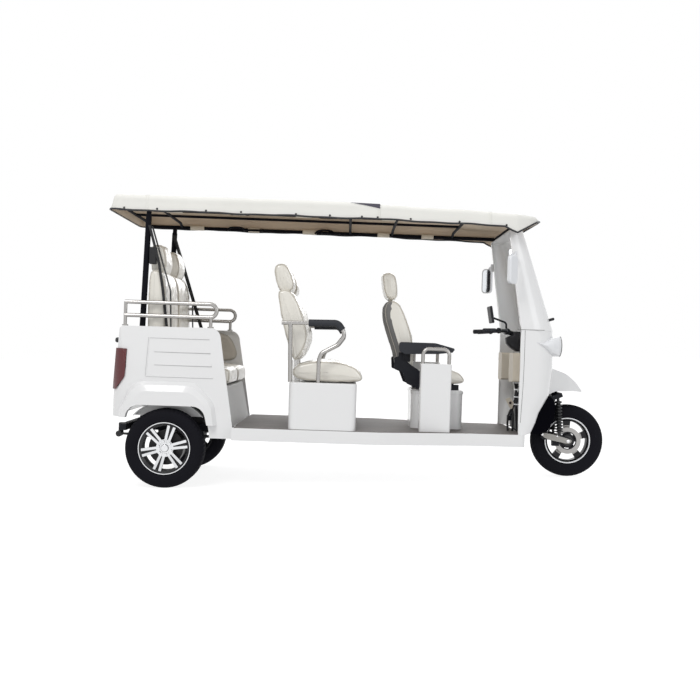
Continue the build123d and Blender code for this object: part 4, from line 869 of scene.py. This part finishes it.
def makeCabTrim():
    # thin dark lines lie a little proud of the cab side; indicator stubs and lamp rims are turned
    lines = []
    y = -cabSize["seamY"]
    along = np.stack([np.linspace(2262, 2440, 12), np.full(12, y), np.full(12, cabSize["seamZ"])], 1)
    lines.append(tubePart(along, 1.6, 6))
    down = [(2313, y, 1086), (2314, y, 1000), (2313, y, 850), (2310, y, 700), (2300, y, 480)]
    lines.append(tubePart(evenPath(down, 40), 1.3, 6))
    piece("cabSeams", joinParts(bothSides(lines)), look["shellGrey"])
    stub = [(0, 0), (5.5, 0), (6, 6), (9, 12), (9.5, 40), (7, 47), (0, 49)]
    stubs = [lathePart(stub, (2478, -352, 1158), (0.93, -0.18, 0.30), 16)]
    piece("indicatorStubs", joinParts(bothSides(stubs)), look["plastic"])
    a = np.linspace(0, 2 * np.pi, 64, endpoint=False)
    rim = np.stack([np.full(64, cabSize["rimX"]), cabSize["lampY"] + cabSize["rimRadius"] * np.cos(a),
                    cabSize["lampZ"] + cabSize["rimRadius"] * np.sin(a)], 1)
    piece("lampRims", joinParts(bothSides([tubePart(rim, 2.4, 8, (1, 0, 0), wrap=True)])), look["shellGrey"])
    # a swept fairing runs back from each lamp along the cab side to a point
    t = np.linspace(0, 1, 30)
    a = np.linspace(0, 2 * np.pi, 40, endpoint=False)
    x = 2392 + 170 * t
    out = np.interp(x, [2392, 2430, 2470, 2510, 2562], [469, 477, 470, 446, 397])
    tall = np.interp(x, [2392, 2430, 2470, 2500, 2530, 2562], [3, 17, 34, 54, 63, 66])
    wide = (out - 300) / 2
    height = np.interp(x, [2392, 2430, 2470, 2510, 2562], [1010, 1000, 992, 989, 988])
    mid = np.stack([x, -300 - wide, height], 1)
    ring = np.stack([np.zeros((30, 40)), wide[:, None] * np.cos(a), tall[:, None] * np.sin(a)], -1)
    grid = mid[:, None] + ring
    grid = capped(grid, mid[0], mid[-1])
    fairings = joinParts(bothSides([gridPart(grid, False, True)]))
    piece("lampFairings", fairings, look["pod"])


makeCabTrim()


def makeRearTrim():
    # round lock at the rear corner, broad belts by the seats, a thin black band of painted shade in the gap
    # between the two middle backs, and black loops under the roof
    knob = [(0, -10), (17, -10), (17, 6), (12, 14), (0, 16)]
    lock = lathePart(knob, (-348, -500, 938), (-1, 0, 0.1), 24)
    piece("rearLock", lock, look["spring"])
    belts = []
    # columns: half width of the band along the body, then its run from the post down to the floor
    for half, run in ((9, [(-160, -526, 1690), (-92, -526, 1453), (-60, -526, 1272), (-28, -526, 1036)]),
                      (13, [(-172, 478, 1732), (-100, 478, 1520), (54, 478, 1048)]),
                      # painted shade: this last thin band runs along the dark gap between the two middle
                      # backs
                      (6, [(690, -12, 1300), (742, -12, 1215), (770, -12, 1130), (786, -12, 1060)])):
        path = evenPath(run, 30)
        ring = np.array([(-half, -1.6), (half, -1.6), (half, 1.6), (-half, 1.6)])
        rows = path[:, None] + np.stack([ring[:, 0], ring[:, 1], np.zeros(4)], 1)[None]
        rows = capped(rows, path[0], path[-1])
        belts.append(gridPart(rows, False, True))
    piece("beltsAndGapShade", joinParts(belts), look["webbing"], smooth=False)
    loops = []
    for x in (298, 960):
        run = [(x - 78, 487, 1779), (x - 50, 470, 1806), (x + 40, 470, 1806), (x + 78, 487, 1777)]
        loops.append(tubePart(smoothPath(run, 40), 7, 8, (0, 1, 0)))
    piece("roofLoops", joinParts(loops), look["roofBlack"])


makeRearTrim()


# the last entry is how far the painted shadow lines under the side ribs stand off the tub
tubCorner = {"x": -256, "y": 490, "radius": 110.0, "shadowLineOut": 1.6}


def tubSkin(x, out):
    # y of the tub's outer face by its rear corner: the corner's y plus the root of radius squared less reach
    # squared, with no reach on the flat side
    reach = np.clip(tubCorner["x"] - x, 0, tubCorner["radius"] - 0.5)
    return tubCorner["y"] + np.sqrt(tubCorner["radius"] ** 2 - reach ** 2) + out


def skinPatch(rows, out=1.6, deep=3.0, count=16):
    # a thin closed patch on the rear corner; each row gives height, rear end, front end
    rows = np.array(rows, float)
    t = np.linspace(0, 1, count)
    x = rows[:, 1, None] + (rows[:, 2] - rows[:, 1])[:, None] * t
    z = np.broadcast_to(rows[:, 0, None], x.shape)
    over = np.stack([x, -tubSkin(x, out), z], -1)
    under = np.stack([x, -tubSkin(x, out - deep), z], -1)
    grid = np.concatenate([over, under[:, ::-1]], 1)
    return gridPart(capped(grid, grid[0].mean(0), grid[-1].mean(0)), False, True)


def makeTailTrim():
    # black front band and bright top cap of each tail lamp, and thin grey lines under the side ribs: painted
    # shadow that makes the shallow ribs show
    band = [(868, -284, -267), (830, -286, -267.5), (770, -288, -268.5), (735, -294, -273),
            (704, -303, -281), (670, -322, -299), (645, -342, -316), (628, -346, -332)]
    bands = joinParts(bothSides([skinPatch(band)]))
    piece("tailBands", bands, look["deepBlack"], sharp=50)
    cap = [(884, -322, -268), (872, -328, -269), (862, -322, -276), (856, -308, -286)]
    caps = joinParts(bothSides([skinPatch(cap, 2.0)]))
    piece("tailCaps", caps, look["shell"], sharp=50)
    lines = []
    # columns: rear end, front end, height, thickest radius
    for x0, x1, level, r in ((-128, 262, 958.5, 2.2), (-90, 272, 869.5, 3.2), (-88, 284, 785.5, 3.2),
                             (-140, 294, 709, 1.8)):
        t = np.linspace(0, 1, 60)
        z = np.full(60, float(level))
        path = np.stack([x0 + (x1 - x0) * t, -tubHalf(z) - tubCorner["shadowLineOut"], z], 1)
        lines.append(tubePart(path, r * (0.35 + 0.65 * t) + 0.2, 6, (0, 1, 0)))
    # one upright painted shadow line at the rear end of the ribbed panel
    up = np.linspace(0, 1, 40)
    z = 712 + 250 * up
    path = np.stack([-141.5 + 12 * up, -tubHalf(z) - tubCorner["shadowLineOut"], z], 1)
    lines.append(tubePart(path, 1.6, 6, (0, 1, 0)))
    piece("paintedRibShadowLines", joinParts(bothSides(lines)), look["shade"])


makeTailTrim()


def makeForkTrim():
    # cast covers on the leading links and the bolts on them
    face = np.array([(2512, 312), (2560, 306), (2608, 296), (2700, 268), (2722, 258), (2716, 240),
                     (2690, 232), (2640, 246), (2560, 262), (2516, 286)], float)
    path = smoothPath(face, 60, closed=True)
    cover = platePart(path, ((0.0, 113.0), (0.97, 113.0), (1.0, 115.0), (1.0, 120.0), (0.95, 122.0),
                             (0.0, 122.0)))
    piece("linkCovers", joinParts(bothSides([cover])), look["cast"], "steering", raked=False,
          sharp=40)
    bolts = []
    # columns: along, height, radius
    for x, z, r in ((2517, 300, 8), (2620, 288, 7), (2694, 252, 11), (2650, 300, 6)):
        head = [(0, 7), (r * 0.7, 6.4), (r, 4), (r, -3), (0, -3)]
        bolts.append(lathePart(head, (x, -122, z), (0, -1, 0), 18))
    piece("linkBolts", joinParts(bothSides(bolts)), look["bright"], "steering", raked=False,
          sharp=40)


makeForkTrim()
print("trim")


# Camera, light and ground.

camera = {"x": -0.1168, "y": -7.2, "z": 0.909, "lens": 52.79, "shiftX": 0.0043, "shiftY": -0.0057}


# the ground's own light is base, with seen added for the rays that reach the picture
stageLight = {"base": 0.48, "seen": 0.37, "around": 0.56}


def seenRays(tree):
    # 1 for rays from the camera, through glass or off a glossy face, else 0
    rays = tree.nodes.new("ShaderNodeLightPath")
    value = rays.outputs["Is Camera Ray"]
    for other in ("Is Transmission Ray", "Is Glossy Ray"):
        most = tree.nodes.new("ShaderNodeMath")
        most.operation = "MAXIMUM"
        link(tree, value, most.inputs[0])
        link(tree, rays.outputs[other], most.inputs[1])
        value = most.outputs["Value"]
    return value


def groundLook():
    # pale ground: its own light plus a little of what falls on it, so that only soft shadows show
    mat = finish("groundWhite", (0.30, 0.30, 0.30), 0.9)
    tree = mat.node_tree
    shader = tree.nodes["Principled BSDF"]
    glow = tree.nodes.new("ShaderNodeMath")
    glow.operation = "MULTIPLY_ADD"
    glow.inputs[1].default_value = stageLight["seen"]
    glow.inputs[2].default_value = stageLight["base"]
    link(tree, seenRays(tree), glow.inputs[0])
    link(tree, glow.outputs["Value"], shader.inputs["Emission Strength"])
    return mat


def makeStage():
    # camera, ground, four area lights turned to the middle of the vehicle, and a white world
    scene = bpy.context.scene
    data = bpy.data.cameras.new("camera")
    data.lens = camera["lens"]
    data.sensor_width = 36
    data.shift_x = camera["shiftX"]
    data.shift_y = camera["shiftY"]
    data.clip_end = 200
    eye = bpy.data.objects.new("camera", data)
    eye.location = (camera["x"], camera["y"], camera["z"])
    eye.rotation_euler = (np.pi / 2, 0, 0)
    scene.collection.objects.link(eye)
    scene.camera = eye
    mesh = bpy.data.meshes.new("ground")
    size = 60.0
    corners = [(-size, -size, 0), (size, -size, 0), (size, size, 0), (-size, size, 0)]
    mesh.from_pydata(corners, [], [(0, 1, 2, 3)])
    ground = bpy.data.objects.new("ground", mesh)
    mesh.materials.append(groundLook())
    scene.collection.objects.link(ground)
    # columns: name, place, size, power, colour
    for name, at, size, power, colour in (
            ("keyLight", (-3.0, -6.0, 6.5), 3.0, 235, (1, 0.99, 0.98)),
            ("fillLight", (5.0, -5.0, 3.2), 3.5, 70, (0.97, 0.985, 1)),
            ("topLight", (0.0, 0.6, 7.0), 5.0, 135, (1, 1, 1)),
            ("backLight", (1.0, 7.0, 4.0), 4.0, 90, (1, 1, 1))):
        lamp = bpy.data.lights.new(name, "AREA")
        lamp.size = size
        lamp.energy = power
        lamp.color = colour
        obj = bpy.data.objects.new(name, lamp)
        obj.location = at
        aim = Vector((0, 0, 0.8)) - Vector(at)
        obj.rotation_euler = aim.to_track_quat("-Z", "Y").to_euler()
        scene.collection.objects.link(obj)
    world = bpy.data.worlds.new("studio")
    scene.world = world
    world.use_nodes = True
    tree = world.node_tree
    back = tree.nodes["Background"]
    back.inputs["Color"].default_value = (0.88, 0.885, 0.895, 1)
    back.inputs["Strength"].default_value = stageLight["around"]
    white = tree.nodes.new("ShaderNodeBackground")
    white.inputs["Color"].default_value = (1, 1, 1, 1)
    white.inputs["Strength"].default_value = 1.0
    mix = tree.nodes.new("ShaderNodeMixShader")
    link(tree, seenRays(tree), mix.inputs["Fac"])
    link(tree, back.outputs["Background"], mix.inputs[1])
    link(tree, white.outputs["Background"], mix.inputs[2])
    link(tree, mix.outputs["Shader"], tree.nodes["World Output"].inputs["Surface"])
    scene.view_settings.view_transform = "Standard"
    scene.render.resolution_x = 700
    scene.render.resolution_y = 700


makeStage()
print("stage")
